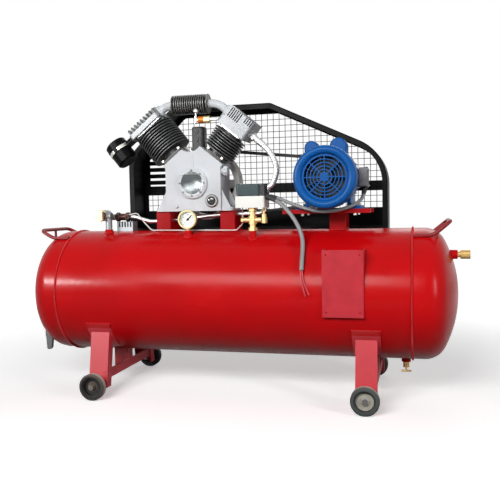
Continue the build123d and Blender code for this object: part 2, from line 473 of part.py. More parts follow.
def make_tow_lug():
    """Tapered lug on the underside of the left head."""
    outer = LUG_OUTER_X
    outline = [(outer, LUG_TOP_Z), (outer + LUG_WIDTH, LUG_TOP_Z),
               (outer + 6 + LUG_TIP_WIDTH, LUG_TIP_Z + 8), (outer + LUG_TIP_WIDTH, LUG_TIP_Z),
               (outer + 6, LUG_TIP_Z)]
    face = make_face(Polyline(*[(x, 0, z) for x, z in outline], close=True))
    lug = Pos(0, LUG_Y + LUG_THICKNESS / 2, 0) * extrude(face, amount=LUG_THICKNESS, dir=(0, -1, 0))
    lug = fillet(lug.edges().filter_by(Axis.Y).sort_by(Axis.Z)[:2], 5)
    reach = block(outer, outer + 60, LUG_Y - LUG_THICKNESS / 2, LUG_Y + LUG_THICKNESS / 2,
                  LUG_TOP_Z - 22, LUG_TOP_Z)
    return lug + reach - tank_blank()


def make_starter_plate():
    """Folded plate for a starter, its side flanges cut to the shell."""
    left, right = PLATE_X - PLATE_WIDTH / 2, PLATE_X + PLATE_WIDTH / 2
    low, high = PLATE_Z - PLATE_HEIGHT / 2, PLATE_Z + PLATE_HEIGHT / 2
    plate = block(left, right, PLATE_FACE_Y, 0, low, high)
    plate = fillet(plate.edges().filter_by(Axis.Z).sort_by(Axis.Y)[:2], PLATE_THICKNESS)
    plate -= block(left + PLATE_THICKNESS, right - PLATE_THICKNESS, PLATE_FACE_Y + PLATE_THICKNESS,
                   1, low - 1, high + 1)
    plate -= shell_cylinder()
    plate &= block(left, right, PLATE_FACE_Y, -TANK_RADIUS / 2, low, high)
    for dx in (-1, 1):
        for dz in (-1, 1):
            plate -= rod_y(PLATE_X + dx * PLATE_HOLE_PITCH_X / 2, PLATE_FACE_Y - 1,
                           PLATE_FACE_Y + PLATE_THICKNESS + 1,
                           PLATE_Z + dz * PLATE_HOLE_PITCH_Z / 2, PLATE_HOLE)
    return plate


def make_outlet_fitting():
    """Brass adapter with a threaded outlet port."""
    neck_end = OUTLET_SOCKET_END + OUTLET_NECK_LENGTH
    body = hex_between((neck_end, 0, OUTLET_Z), (OUTLET_FACE_X, 0, OUTLET_Z), OUTLET_HEX_AF)
    body &= rod_x(neck_end, OUTLET_FACE_X, 0, OUTLET_Z, OUTLET_HEX_AF * 1.1)
    body += rod_x(OUTLET_SOCKET_END, neck_end, 0, OUTLET_Z, OUTLET_NECK_OD)
    body -= rod_x(OUTLET_FACE_X - OUTLET_THREAD_DEPTH, OUTLET_FACE_X + 1, 0, OUTLET_Z,
                  OUTLET_THREAD_BORE)
    body -= rod_x(OUTLET_SOCKET_END - 1, OUTLET_FACE_X, 0, OUTLET_Z, DRAIN_BOSS_BORE)
    return body


def make_drain_body():
    """Drain cock: hexagon under the boss with a short spout to the front."""
    low = DRAIN_TOP_Z - DRAIN_BODY_LENGTH
    body = Pos(DRAIN_X, 0, low) * hex_prism(DRAIN_HEX_AF, DRAIN_BODY_LENGTH)
    middle = (low + DRAIN_TOP_Z) / 2
    body += rod_y(DRAIN_X, -DRAIN_HEX_AF / 2 - DRAIN_SPOUT_LENGTH, 0, middle, DRAIN_SPOUT_OD)
    body -= rod_y(DRAIN_X, -DRAIN_HEX_AF / 2 - DRAIN_SPOUT_LENGTH - 1, -DRAIN_SPINDLE, middle,
                  DRAIN_SPOUT_BORE)
    return body - rod_z(DRAIN_X, 0, low - 1, middle, DRAIN_SPINDLE + 2 * RUNNING_CLEARANCE)


def make_drain_handle():
    """T-handle and its spindle."""
    low = DRAIN_TOP_Z - DRAIN_BODY_LENGTH
    bar_z = low - DRAIN_SPINDLE_LENGTH
    middle = (low + DRAIN_TOP_Z) / 2
    spindle = rod_z(DRAIN_X, 0, bar_z, middle - SIDE_CLEARANCE, DRAIN_SPINDLE)
    bar = rod_x(DRAIN_X - DRAIN_T_LENGTH / 2, DRAIN_X + DRAIN_T_LENGTH / 2, 0, bar_z, DRAIN_T_ROD)
    return spindle + fillet(bar.edges(), 2.5)


# ================================================================ compressor pump
def deck_point(side, distance, along):
    """Point on a plane square to one cylinder's axis; along grows towards the V."""
    lean = math.radians(V_HALF_ANGLE)
    x = side * (distance * math.sin(lean) - along * math.cos(lean))
    return x, distance * math.cos(lean) + along * math.sin(lean)


def case_outline():
    """Crankcase section square to the crank, about the crank axis, with a rounded valley on top."""
    base = CASE_BASE_Z - CRANK_Z
    runs = []
    for side, inner_half in ((-1, LP_DECK_INNER_HALF), (1, HP_DECK_INNER_HALF)):
        outer = deck_point(side, DECK_DISTANCE, -DECK_OUTER_HALF)
        inner = deck_point(side, DECK_DISTANCE, inner_half)
        shoulder = outer[1] - (abs(outer[0]) - CASE_HALF_WIDTH) * 1.5
        runs.append([(side * CASE_HALF_WIDTH, base), (side * CASE_HALF_WIDTH, shoulder), outer, inner])
    left, right = runs
    sides = Polyline(*left[::-1], *right)
    valley = ThreePointArc(left[-1], (VALLEY_DX, VALLEY_DZ), right[-1])
    return make_face([sides, valley])


def case_slice(outline, y0, y1):
    """Extrude a section drawn about the crank axis between two Y planes."""
    placed = Plane(origin=(CRANK_X, y0, CRANK_Z), x_dir=(1, 0, 0), z_dir=(0, -1, 0)) * outline
    return extrude(placed, amount=y1 - y0, dir=(0, 1, 0))


def make_crankcase():
    """Hollow cast crankcase: decks, bearing bosses, foot flange, gussets and drain boss."""
    outline = case_outline()
    case = case_slice(outline, CASE_FRONT_Y, CASE_BACK_Y)
    case = fillet(case.edges().filter_by(Axis.Y).group_by(Axis.Z)[-3], CASE_CORNER / 2)
    foot = block(CRANK_X - FOOT_HALF_WIDTH, CRANK_X + FOOT_HALF_WIDTH, CASE_FRONT_Y + FOOT_SETBACK,
                 CASE_BACK_Y, CASE_BASE_Z, CASE_BASE_Z + FOOT_THICKNESS)
    case += fillet(foot.edges().filter_by(Axis.Z), CASE_CORNER)
    reach = FOOT_HALF_WIDTH - CASE_HALF_WIDTH - CASE_CORNER
    for side in (-1, 1):
        wall = CRANK_X + side * CASE_HALF_WIDTH
        top = CASE_BASE_Z + FOOT_THICKNESS
        gusset = make_face(Polyline((wall, 0, top), (wall + side * reach, 0, top),
                                    (wall, 0, top + 2 * reach), close=True))
        for y in (CASE_FRONT_Y + FOOT_SETBACK + CASE_WALL, CASE_BACK_Y - CASE_WALL):
            case += Pos(0, y + CASE_WALL / 2, 0) * extrude(gusset, amount=CASE_WALL, dir=(0, -1, 0))
    front = CASE_FRONT_Y - CASE_RIDGE_PROUD
    case += block(CRANK_X - CASE_RIDGE_WIDTH / 2, CRANK_X + CASE_RIDGE_WIDTH / 2, front, CASE_BACK_Y,
                  CRANK_Z + COVER_OD / 2 + 2, CRANK_Z + VALLEY_DZ - CASE_WALL)
    case += rod_y(CRANK_X + OIL_PLUG_DX, CASE_FRONT_Y - OIL_PLUG_PROUD, CASE_FRONT_Y + CASE_WALL,
                  CRANK_Z + OIL_PLUG_DZ, OIL_PLUG_OD)
    bearing_depth = CRANK_BEARING_WIDTH
    room = offset(outline, -CASE_WALL, kind=Kind.INTERSECTION)
    case -= case_slice(room, CASE_FRONT_Y + CASE_WALL, CASE_BACK_Y - CASE_WALL)
    boss_od = CRANK_BEARING_OD + 2 * CASE_WALL
    case += rod_y(CRANK_X, CASE_FRONT_Y, CASE_FRONT_Y + bearing_depth, CRANK_Z, boss_od)
    case += rod_y(CRANK_X, CASE_BACK_Y - bearing_depth - CASE_SEAL_LIP, CASE_BACK_Y, CRANK_Z, boss_od)
    case -= rod_y(CRANK_X, CASE_FRONT_Y - 1, CASE_FRONT_Y + bearing_depth, CRANK_Z, CRANK_BEARING_OD)
    case -= rod_y(CRANK_X, CASE_BACK_Y - bearing_depth - CASE_SEAL_LIP - 1,
                  CASE_BACK_Y - CASE_SEAL_LIP, CRANK_Z, CRANK_BEARING_OD)
    case -= rod_y(CRANK_X, 0, CASE_BACK_Y + 1, CRANK_Z, MAIN_JOURNAL + 2)
    for frame, bore in ((LP_FRAME, LP_BORE), (HP_FRAME, HP_BORE)):
        case -= frame * Pos(0, 0, DECK_DISTANCE) * Cylinder(bore / 2 + 1, 4 * CASE_WALL)
    for dx, y in foot_bolt_places():
        case -= rod_z(CRANK_X + dx, y, CASE_BASE_Z - 1, CASE_BASE_Z + FOOT_THICKNESS + 1, FOOT_BOLT_HOLE)
    return case


def foot_bolt_places():
    """Offsets of the pump's foot bolts: from the crank axis in X, and Y positions."""
    middle = (CASE_FRONT_Y + CASE_BACK_Y) / 2
    return [(dx, middle + dy) for dx in (-FOOT_BOLT_X, FOOT_BOLT_X) for dy in (-FOOT_BOLT_Y, FOOT_BOLT_Y)]


def make_crankcase_cover():
    """Front bearing cover: stepped rim and a dished hollow whose flat upper edge carries a lip."""
    radius, thickness, face = COVER_OD / 2, COVER_THICKNESS, COVER_FACE_OD / 2
    cover = turned([(0, 0), (radius, 0), (radius, thickness - 5), (radius - 2, thickness - 3),
                    (face + 2, thickness - 3), (face, thickness), (0, thickness)])
    dish_radius = (DISH_OD ** 2 / 4 + DISH_DEPTH ** 2) / (2 * DISH_DEPTH)
    dish = Pos(0, 0, thickness - DISH_DEPTH + dish_radius) * Sphere(dish_radius)
    dish &= Pos(0, DISH_TOP - radius, thickness) * Box(COVER_OD, COVER_OD, 2 * COVER_THICKNESS)
    cover -= dish
    lip = Pos((LIP_LEFT + LIP_RIGHT) / 2, DISH_TOP + LIP_HEIGHT / 2, thickness) * Box(
        LIP_RIGHT - LIP_LEFT, LIP_HEIGHT, 2 * LIP_PROUD)
    cover += fillet(lip.edges().filter_by(Axis.Z), LIP_HEIGHT / 3)
    return Pos(CRANK_X, CASE_FRONT_Y, CRANK_Z) * Rot(90, 0, 0) * cover


def make_sight_glass():
    """Round oil window in a screwed bezel."""
    radius = SIGHT_GLASS_OD / 2
    bezel = turned([(0, 0), (radius, 0), (radius, 5), (radius - 3, 8), (radius - 8, 8),
                    (radius - 10, 4), (0, 4)])
    return Pos(CRANK_X + SIGHT_GLASS_DX, CASE_FRONT_Y, CRANK_Z + SIGHT_GLASS_DZ) * Rot(90, 0, 0) * bezel


def make_filler():
    """Fluted oil filler cap on the case's right shoulder."""
    radius = FILLER_OD / 2
    knob = turned([(0, 0), (radius - 7, 0), (radius - 7, 8), (radius, 10), (radius, 22),
                   (radius - 4, 26), (0, 26)])
    for index in range(8):
        knob -= Rot(0, 0, index * 45) * Pos(radius + 1.5, 0, 17) * Cylinder(4, 20)
    return Pos(CRANK_X + CASE_HALF_WIDTH, FILLER_Y, CRANK_Z + FILLER_DZ) * Rot(0, 90, 0) * knob


def make_breather():
    """Crankcase breather: rounded casting on a flange, seated in the valley, with two front bosses."""
    x, y = CRANK_X + BREATHER_DX, (CASE_FRONT_Y + CASE_BACK_Y) / 2
    half_w, half_d = BREATHER_WIDTH / 2, BREATHER_DEPTH / 2
    low, top = CRANK_Z + VALLEY_DZ - CASE_WALL, CRANK_Z + BREATHER_TOP
    pot = block(x - half_w, x + half_w, y - half_d, y + half_d, low, top)
    pot = fillet(pot.edges().filter_by(Axis.Z), half_w / 2)
    pot = fillet(pot.faces().sort_by(Axis.Z)[-1].edges(), 7)
    rim = CRANK_Z + deck_point(-1, DECK_DISTANCE, LP_DECK_INNER_HALF)[1]
    flange = block(x - half_w - 4, x + half_w, y - half_d - 4, y + half_d + 4, rim, rim + BREATHER_FLANGE)
    pot += fillet(flange.edges().filter_by(Axis.Z), half_w / 2)
    for level in (0.45, 0.8):
        height = rim + level * (top - rim)
        pot += rod_y(x - half_w / 4, y - half_d - BREATHER_BOSS_PROUD, y, height, BREATHER_BOSS_OD)
    return pot - case_slice(case_outline(), CASE_FRONT_Y, CASE_BACK_Y)


def rod_space():
    """Y limits of the crank pin: both connecting rods run side by side on it."""
    width = abs(LP_Y - HP_Y)
    return min(LP_Y, HP_Y) - width / 2, max(LP_Y, HP_Y) + width / 2


def make_crankshaft():
    """Forged crank: two journals, two counterweighted webs and one pin, pin upwards."""
    front, back = rod_space()
    web = Circle(WEB_RADIUS) & Pos(0, -WEB_RADIUS) * Rectangle(2 * WEB_RADIUS, 2 * WEB_RADIUS)
    web += Circle(MAIN_JOURNAL / 2 + 8) + Pos(0, CRANK_THROW) * Circle(CRANK_PIN / 2 + 7)
    web += Pos(0, CRANK_THROW / 2) * Rectangle(MAIN_JOURNAL + 8, CRANK_THROW)
    shaft = rod_y(CRANK_X, CASE_FRONT_Y + 3, front - WEB_THICKNESS, CRANK_Z, MAIN_JOURNAL)
    shaft += case_slice(web, front - WEB_THICKNESS, front)
    shaft += rod_y(CRANK_X, front, back, CRANK_Z + CRANK_THROW, CRANK_PIN)
    shaft += case_slice(web, back, back + WEB_THICKNESS)
    shaft += rod_y(CRANK_X, back + WEB_THICKNESS, SHEAVE_BACK_Y, CRANK_Z, MAIN_JOURNAL)
    shaft += rod_y(CRANK_X, SHEAVE_BACK_Y, SHEAVE_BACK_Y + 5, CRANK_Z, MAIN_JOURNAL + 14)
    shaft += facing_back(hex_prism(30, 12), CRANK_X, SHEAVE_BACK_Y + 5, CRANK_Z)
    return shaft


def bearing_ring(x, y, z, bore, outside, width):
    """Ball bearing as one grooved ring whose bore gives the shaft its running fit."""
    inner, outer, step = bore / 2 + RUNNING_CLEARANCE, outside / 2, (outside - bore) / 6
    ring = turned([(inner, 0), (inner + step, 0), (inner + step, 2), (outer - step, 2), (outer - step, 0),
                   (outer, 0), (outer, width), (outer - step, width), (outer - step, width - 2),
                   (inner + step, width - 2), (inner + step, width), (inner, width)])
    return facing_back(ring, x, y, z)


def make_shaft_bearings():
    """Two main bearings of the pump and two of the motor."""
    pump = (CRANK_X, CRANK_Z, MAIN_JOURNAL, CRANK_BEARING_OD, CRANK_BEARING_WIDTH)
    motor = (MOTOR_X, MOTOR_Z, MOTOR_SHAFT, MOTOR_BEARING_OD, MOTOR_BEARING_WIDTH)
    starts = ((pump, CASE_FRONT_Y), (pump, CASE_BACK_Y - CRANK_BEARING_WIDTH - CASE_SEAL_LIP),
              (motor, MOTOR_BODY_FRONT_Y - SHIELD_FRONT), (motor, MOTOR_BODY_BACK_Y + BEARING_INSET))
    return [bearing_ring(x, y, z, bore, outside, width) for (x, z, bore, outside, width), y in starts]


def finned_barrel(bore, barrel, fins, first, pitch, count, top):
    """Cylinder barrel with tapered cooling fins, turned about its own axis from the deck up."""
    inner, root, edge, land = bore / 2, barrel / 2, fins / 2, FIN_THICKNESS / 2
    profile = [(inner, DECK_DISTANCE), (root, DECK_DISTANCE), (root, first - pitch / 2)]
    for index in range(count):
        middle = first + index * pitch
        profile += [(edge, middle - land), (edge, middle + land)]
        if index < count - 1:
            profile.append((root, middle + pitch / 2))
    profile += [(root + 8, min(first + (count - 0.6) * pitch, top - 2)), (root + 8, top), (inner, top)]
    return turned(profile)


def make_lp_cylinder():
    """Low-pressure cylinder with its square foot flange."""
    barrel = finned_barrel(LP_BORE, LP_BARREL_OD, LP_FIN_OD, LP_FIN_FIRST, LP_FIN_PITCH,
                           LP_FIN_COUNT, LP_TOP)
    flange = Pos(0, 0, DECK_DISTANCE + BASE_FLANGE_THICKNESS / 2) * Box(
        LP_FLANGE_ACROSS, LP_FLANGE_DEPTH, BASE_FLANGE_THICKNESS)
    barrel += fillet(flange.edges().filter_by(Axis.Z), 10)
    return LP_FRAME * (barrel - Pos(0, 0, DECK_DISTANCE) * Cylinder(LP_BORE / 2, 40))


def make_hp_cylinder():
    """High-pressure cylinder with its square foot flange."""
    barrel = finned_barrel(HP_BORE, HP_BARREL_OD, HP_FIN_OD, HP_FIN_FIRST, HP_FIN_PITCH,
                           HP_FIN_COUNT, HP_TOP)
    flange = Pos(0, 0, DECK_DISTANCE + BASE_FLANGE_THICKNESS / 2) * Box(
        HP_FLANGE, HP_FLANGE, BASE_FLANGE_THICKNESS)
    barrel += fillet(flange.edges().filter_by(Axis.Z), 8)
    return HP_FRAME * (barrel - Pos(0, 0, DECK_DISTANCE) * Cylinder(HP_BORE / 2, 40))


def make_valve_plates():
    """One plate between each barrel and its head, with a suction and a delivery hole."""
    plates = []
    for frame, bore, barrel, top in ((LP_FRAME, LP_BORE, LP_BARREL_OD, LP_TOP),
                                     (HP_FRAME, HP_BORE, HP_BARREL_OD, HP_TOP)):
        size = barrel + 24
        plate = Pos(0, 0, top + VALVE_PLATE_THICKNESS / 2) * Box(size, size, VALVE_PLATE_THICKNESS)
        plate = fillet(plate.edges().filter_by(Axis.Z), 12)
        for side in (-1, 1):
            plate -= Pos(side * bore * VALVE_PORT_SPREAD, 0, top) * Cylinder(VALVE_PORT / 2, 30)
        plates.append(frame * plate)
    return plates


def piston(bore, length, pin):
    """Piston about its own axis, crown at z = 0: hollow skirt, two ring grooves, wrist pin."""
    outer = bore / 2 - PISTON_CLEARANCE
    inner = outer - 6
    body = turned([(0, 0), (outer, 0), (outer, -6), (outer - 2, -6), (outer - 2, -9), (outer, -9),
                   (outer, -14), (outer - 2, -14), (outer - 2, -17), (outer, -17), (outer, -length),
                   (inner, -length), (inner, -PISTON_CROWN), (0, -PISTON_CROWN)])
    wrist = rod_y(0, -inner - 1, inner + 1, -length * 0.6, pin)
    return body + wrist


def crown_at_rest(top):
    """Height of a crown on its own axis with the crank pin straight up."""
    lean = math.radians(V_HALF_ANGLE)
    reach = CRANK_THROW * math.cos(lean) + math.sqrt(ROD_LENGTH ** 2 - (CRANK_THROW * math.sin(lean)) ** 2)
    return top - PISTON_TOP_GAP - (CRANK_THROW + ROD_LENGTH - reach)


def make_lp_head():
    """Low-pressure head: slab with two chambers, a comb of fins and the delivery boss."""
    base = LP_TOP + VALVE_PLATE_THICKNESS
    left, right = -LP_HEAD_OFFSET - LP_HEAD_WIDTH / 2, LP_HEAD_WIDTH / 2 - LP_HEAD_OFFSET
    half = LP_HEAD_DEPTH / 2
    head = block(left, right, -half, half, base, base + LP_HEAD_SLAB)
    head = fillet(head.edges().filter_by(Axis.Z), 14)
    top = base + LP_HEAD_SLAB + LP_RIB_HEIGHT
    step = (LP_HEAD_WIDTH - 16 - LP_RIB_THICKNESS) / (LP_RIB_COUNT - 1)
    bevel = 14
    rib = make_face(Polyline((0, -half + 4, base), (0, half - 4, base), (0, half - 4, top - bevel),
                             (0, half - 4 - bevel, top), (0, -half + 4 + bevel, top),
                             (0, -half + 4, top - bevel), close=True))
    for index in range(LP_RIB_COUNT):
        head += Pos(left + 8 + index * step, 0, 0) * extrude(rib, amount=LP_RIB_THICKNESS, dir=(1, 0, 0))
    boss = ELBOW_FLANGE + 4
    head += block(right - boss, right, COOLER_Y - LP_Y - boss / 2, COOLER_Y - LP_Y + boss / 2, base, top)
    chamber = LP_BORE * 0.4
    for side in (-1, 1):
        middle = side * (chamber / 2 + 4)
        pocket = Pos(middle, 0, base + 5) * Box(chamber, LP_BORE, 12)
        head -= fillet(pocket.edges().filter_by(Axis.Z), 8)
    return LP_FRAME * head


def make_hp_head():
    """High-pressure head: tall block with slotted fins front and back of a solid port band."""
    base = HP_TOP + VALVE_PLATE_THICKNESS
    half_w, half_d, top = HP_HEAD_WIDTH / 2, HP_HEAD_DEPTH / 2, base + HP_HEAD_HEIGHT
    head = block(-half_w, half_w, -half_d, half_d, base, top)
    head = fillet(head.edges().filter_by(Axis.Z), 12)
    first = HP_STEP_WIDTH - half_w + 7
    slots = [(first + index * HP_SLOT_PITCH, HP_SLOT_LENGTH) for index in range(HP_SLOTS_LEFT)]
    slots += [(half_w - 9 - HP_SLOT_WIDTH - index * HP_SLOT_PITCH, HP_SHORT_SLOT_LENGTH)
              for index in range(HP_SLOTS_RIGHT)]
    band = COOLER_Y - HP_Y
    reach = ELBOW_FLANGE / 2 + 2
    for front, back in ((-half_d - 1, band - reach), (band + reach, half_d + 1)):
        for start, length in slots:
            head -= block(start, start + HP_SLOT_WIDTH, front, back, top - length, top + 1)
        head -= block(-half_w - 1, HP_STEP_WIDTH - half_w, front, back, top - HP_STEP_HEIGHT, top + 1)
    chamber = HP_BORE * 0.4
    for side in (-1, 1):
        middle = side * (chamber / 2 + 4)
        head -= Pos(middle, 0, base + 9) * Box(chamber, HP_BORE, 20)
    return HP_FRAME * head


# ports on the heads' inner sides, in world X and Z, with the direction they face
def side_port(frame_side, across, along):
    """Point and outward direction on the side face of a head, seen in the X-Z plane."""
    lean = math.radians(V_HALF_ANGLE)
    x = CRANK_X + frame_side * (along * math.sin(lean)) + across * math.cos(lean)
    z = CRANK_Z + along * math.cos(lean) - frame_side * across * math.sin(lean)
    sign = 1 if across > 0 else -1
    return (x, z), (sign * math.cos(lean), -frame_side * sign * math.sin(lean))


def elbow(frame_side, across, along, cooler_x):
    """Flanged bend from a head's side port to the end of the intercooler."""
    (x, z), (dx, dz) = side_port(frame_side, across, along)
    run = (COOLER_Z - z) / dz
    corner_x = x + run * dx
    start = (x, COOLER_Y, z)
    points = [start, (corner_x, COOLER_Y, COOLER_Z), (cooler_x, COOLER_Y, COOLER_Z)]
    flat = min(run, abs(cooler_x - corner_x))
    radius = 0.8 * flat / math.tan(math.radians(V_HALF_ANGLE) / 2)
    bend = bent_rod(points, [radius], ELBOW_OD, ELBOW_WALL)
    flange_end = (x + dx * ELBOW_FLANGE_THICKNESS, COOLER_Y, z + dz * ELBOW_FLANGE_THICKNESS)
    bend += rod_between(start, flange_end, ELBOW_FLANGE) - rod_between(start, flange_end, ELBOW_OD - 2)
    return bend


def make_elbows():
    """Bends from the low-pressure head and to the high-pressure head."""
    left = elbow(-1, LP_HEAD_WIDTH / 2 - LP_HEAD_OFFSET, LP_PORT_ALONG, COOLER_LEFT)
    right = elbow(1, -HP_HEAD_WIDTH / 2, HP_PORT_ALONG, COOLER_RIGHT)
    return left, right


def make_intercooler():
    """Finned tube with a header at each end."""
    length = COOLER_RIGHT - COOLER_LEFT
    tube, edge, land = COOLER_TUBE_OD / 2, COOLER_OD / 2, COOLER_FIN_THICKNESS / 2
    bore = ELBOW_OD / 2 - ELBOW_WALL
    pitch = length / COOLER_FIN_COUNT
    profile = [(bore, 0), (edge, 0), (edge, 2 * land)]
    for index in range(1, COOLER_FIN_COUNT - 1):
        middle = (index + 0.5) * pitch
        profile += [(tube, middle - pitch / 2), (edge, middle - land), (edge, middle + land)]
    profile += [(tube, length - pitch), (edge, length - 2 * land), (edge, length), (bore, length)]
    return Pos(COOLER_LEFT, COOLER_Y, COOLER_Z) * Rot(0, 90, 0) * turned(profile)


def make_air_filter():
    """Round intake silencer beside the low-pressure head, with its band and neck."""
    outer, band = FILTER_OD / 2, FILTER_BAND_OD / 2
    start = FILTER_OUTER - FILTER_LENGTH
    at = FILTER_OUTER - FILTER_BAND_AT
    can = turned([(0, start), (outer - 6, start), (outer, start + 6), (outer, at), (band, at),
                  (band, at + FILTER_BAND_WIDTH), (outer, at + FILTER_BAND_WIDTH),
                  (outer, FILTER_OUTER - 4), (outer - 4, FILTER_OUTER), (0, FILTER_OUTER)])
    can = Pos(FILTER_ACROSS, FILTER_Y - LP_Y, 0) * can
    side = -LP_HEAD_OFFSET - LP_HEAD_WIDTH / 2
    level = LP_TOP + VALVE_PLATE_THICKNESS + LP_HEAD_SLAB / 2
    neck = rod_x(FILTER_ACROSS, side, FILTER_Y - LP_Y, level, FILTER_NECK_OD)
    neck &= block(FILTER_ACROSS, side, -TANK_OD, TANK_OD, level - LP_HEAD_SLAB / 2, level + FILTER_NECK_OD)
    return LP_FRAME * (can + neck)


def make_interstage_valve():
    """Safety valve on a nipple from the high-pressure head: barrel, side post and its test ball."""
    left, middle, right = SAFETY_BARREL_LEFT, SAFETY_BARREL_MIDDLE, SAFETY_BARREL_RIGHT
    body = rod_x(left, middle, SAFETY_Y, SAFETY_Z, SAFETY_BARREL_OD)
    body += hex_between((middle, SAFETY_Y, SAFETY_Z), (right, SAFETY_Y, SAFETY_Z), SAFETY_HEX_AF)
    body += rod_x(SAFETY_X, left, SAFETY_Y, SAFETY_Z, SAFETY_POST)
    body += rod_z(SAFETY_X, SAFETY_Y, SAFETY_Z - SAFETY_POST, SAFETY_Z + SAFETY_POST, SAFETY_POST)
    body += rod_z(SAFETY_X, SAFETY_Y, SAFETY_Z, SAFETY_BALL_Z, SAFETY_STEM)
    body += Pos(SAFETY_X, SAFETY_Y, SAFETY_BALL_Z) * Sphere(SAFETY_BALL / 2)
    nipple = rod_x(right, CRANK_X + HP_HEAD_WIDTH * 1.3, SAFETY_Y, SAFETY_Z, SAFETY_NIPPLE)
    return body + (nipple - HP_FRAME * head_room())


def head_room():
    """All the space on and beyond the inner side of the high-pressure head, below its step."""
    base = HP_TOP + VALVE_PLATE_THICKNESS
    half = HP_HEAD_WIDTH / 2
    low = block(-half, TANK_OD, -TANK_OD, TANK_OD, 0, base + HP_HEAD_HEIGHT - HP_STEP_HEIGHT)
    return low + block(HP_STEP_WIDTH - half, TANK_OD, -TANK_OD, TANK_OD, 0, base + TANK_OD)


# ================================================================ belt drive
def sheave_rim(outside):
    """Grooved rim turned about Z from its front face."""
    edge, inner = outside / 2, outside / 2 - RIM_THICKNESS
    profile = [(inner, 0), (edge, 0)]
    for index in range(GROOVE_COUNT):
        middle = SHEAVE_EDGE + index * GROOVE_PITCH
        top, bottom = groove_half(0), groove_half(GROOVE_DEPTH)
        profile += [(edge, middle - top), (edge - GROOVE_DEPTH, middle - bottom),
                    (edge - GROOVE_DEPTH, middle + bottom), (edge, middle + top)]
    profile += [(edge, SHEAVE_WIDTH), (inner, SHEAVE_WIDTH)]
    return turned(profile)


def groove_half(depth):
    """Half the groove's width at a depth under the rim."""
    return BELT_TOP / 2 - depth * math.tan(math.radians(GROOVE_FLANK))


def hub(outside, bore, width):
    """Plain bored hub turned about Z."""
    return turned([(bore / 2, 0), (outside / 2, 0), (outside / 2, width), (bore / 2, width)])


def make_flywheel():
    """Three-groove flywheel whose six slanted arms blow air over the pump."""
    wheel = sheave_rim(FLYWHEEL_OD)
    core = hub(FLYWHEEL_HUB_OD, MAIN_JOURNAL, SHEAVE_WIDTH)
    inner, rim = FLYWHEEL_HUB_OD / 2, FLYWHEEL_OD / 2 - RIM_THICKNESS
    length = rim - inner + 8
    for index in range(FLYWHEEL_BLADES):
        arm = Pos((inner + rim) / 2, 0, SHEAVE_WIDTH / 2) * Rot(BLADE_PITCH_ANGLE, 0, 0) * Box(
            length, BLADE_THICKNESS, SHEAVE_WIDTH - 6)
        wheel += Rot(0, 0, index * 360 / FLYWHEEL_BLADES) * arm
    return facing_back(wheel + core, CRANK_X, SHEAVE_FRONT_Y, CRANK_Z)


def make_motor_pulley():
    """Three-groove motor pulley with a drilled web."""
    rim = sheave_rim(PULLEY_OD)
    inner, core = PULLEY_OD / 2 - RIM_THICKNESS, PULLEY_HUB_OD / 2
    web = Pos(0, 0, SHEAVE_WIDTH / 2) * (Cylinder(inner + 1, PULLEY_WEB) - Cylinder(core - 1, 2 * PULLEY_WEB))
    for index in range(PULLEY_HOLES):
        turn = (index + 0.5) * 360 / PULLEY_HOLES
        hole = Pos((inner + core) / 2, 0, SHEAVE_WIDTH / 2) * Cylinder(PULLEY_HOLE / 2, 2 * PULLEY_WEB)
        web -= Rot(0, 0, turn) * hole
    wheel = rim + web + hub(PULLEY_HUB_OD, MOTOR_SHAFT, SHEAVE_WIDTH)
    return facing_back(wheel, MOTOR_X, SHEAVE_FRONT_Y, MOTOR_Z)


def belt_path(radius_a, radius_b, y):
    """Closed wire round both sheaves at given radii, in one plane square to the shafts."""
    dx, dz = MOTOR_X - CRANK_X, MOTOR_Z - CRANK_Z
    span, tilt = math.hypot(dx, dz), math.atan2(dz, dx)
    lean = math.asin((radius_a - radius_b) / span)

    def place(centre, radius, angle):
        along, up = centre + radius * math.cos(angle), radius * math.sin(angle)
        return (CRANK_X + along * math.cos(tilt) - up * math.sin(tilt), y,
                CRANK_Z + along * math.sin(tilt) + up * math.cos(tilt))

    upper, lower = math.pi / 2 - lean, lean - math.pi / 2
    top = Line(place(0, radius_a, upper), place(span, radius_b, upper))
    small = ThreePointArc(top @ 1, place(span, radius_b, 0), place(span, radius_b, lower))
    bottom = Line(small @ 1, place(0, radius_a, lower))
    big = ThreePointArc(bottom @ 1, place(0, radius_a, math.pi), top @ 0)
    return Wire([top, small, bottom, big])


def make_drive_belts():
    """Three V-belts swept round both sheaves."""
    depth = BELT_HEIGHT - BELT_PROUD
    wide = groove_half(-BELT_PROUD) - BELT_CLEARANCE
    narrow = groove_half(depth) - BELT_CLEARANCE
    belts = []
    for index in range(GROOVE_COUNT):
        middle = SHEAVE_FRONT_Y + SHEAVE_EDGE + index * GROOVE_PITCH
        path = belt_path(FLYWHEEL_OD / 2, PULLEY_OD / 2, middle)
        start = Plane(origin=path @ 0, x_dir=(0, 1, 0), z_dir=path % 0)
        away = 1 if start.y_dir.Z > 0 else -1
        section = make_face(Polyline((-wide, away * BELT_PROUD), (wide, away * BELT_PROUD),
                                     (narrow, -away * depth), (-narrow, -away * depth), close=True))
        belts.append(sweep(start * section, path=path))
    return belts


# ================================================================ motor
def turned_motor(profile, y):
    """Part of the motor turned about its shaft; the profile's z grows towards the drive end."""
    return facing_back(turned(profile), MOTOR_X, y, MOTOR_Z)


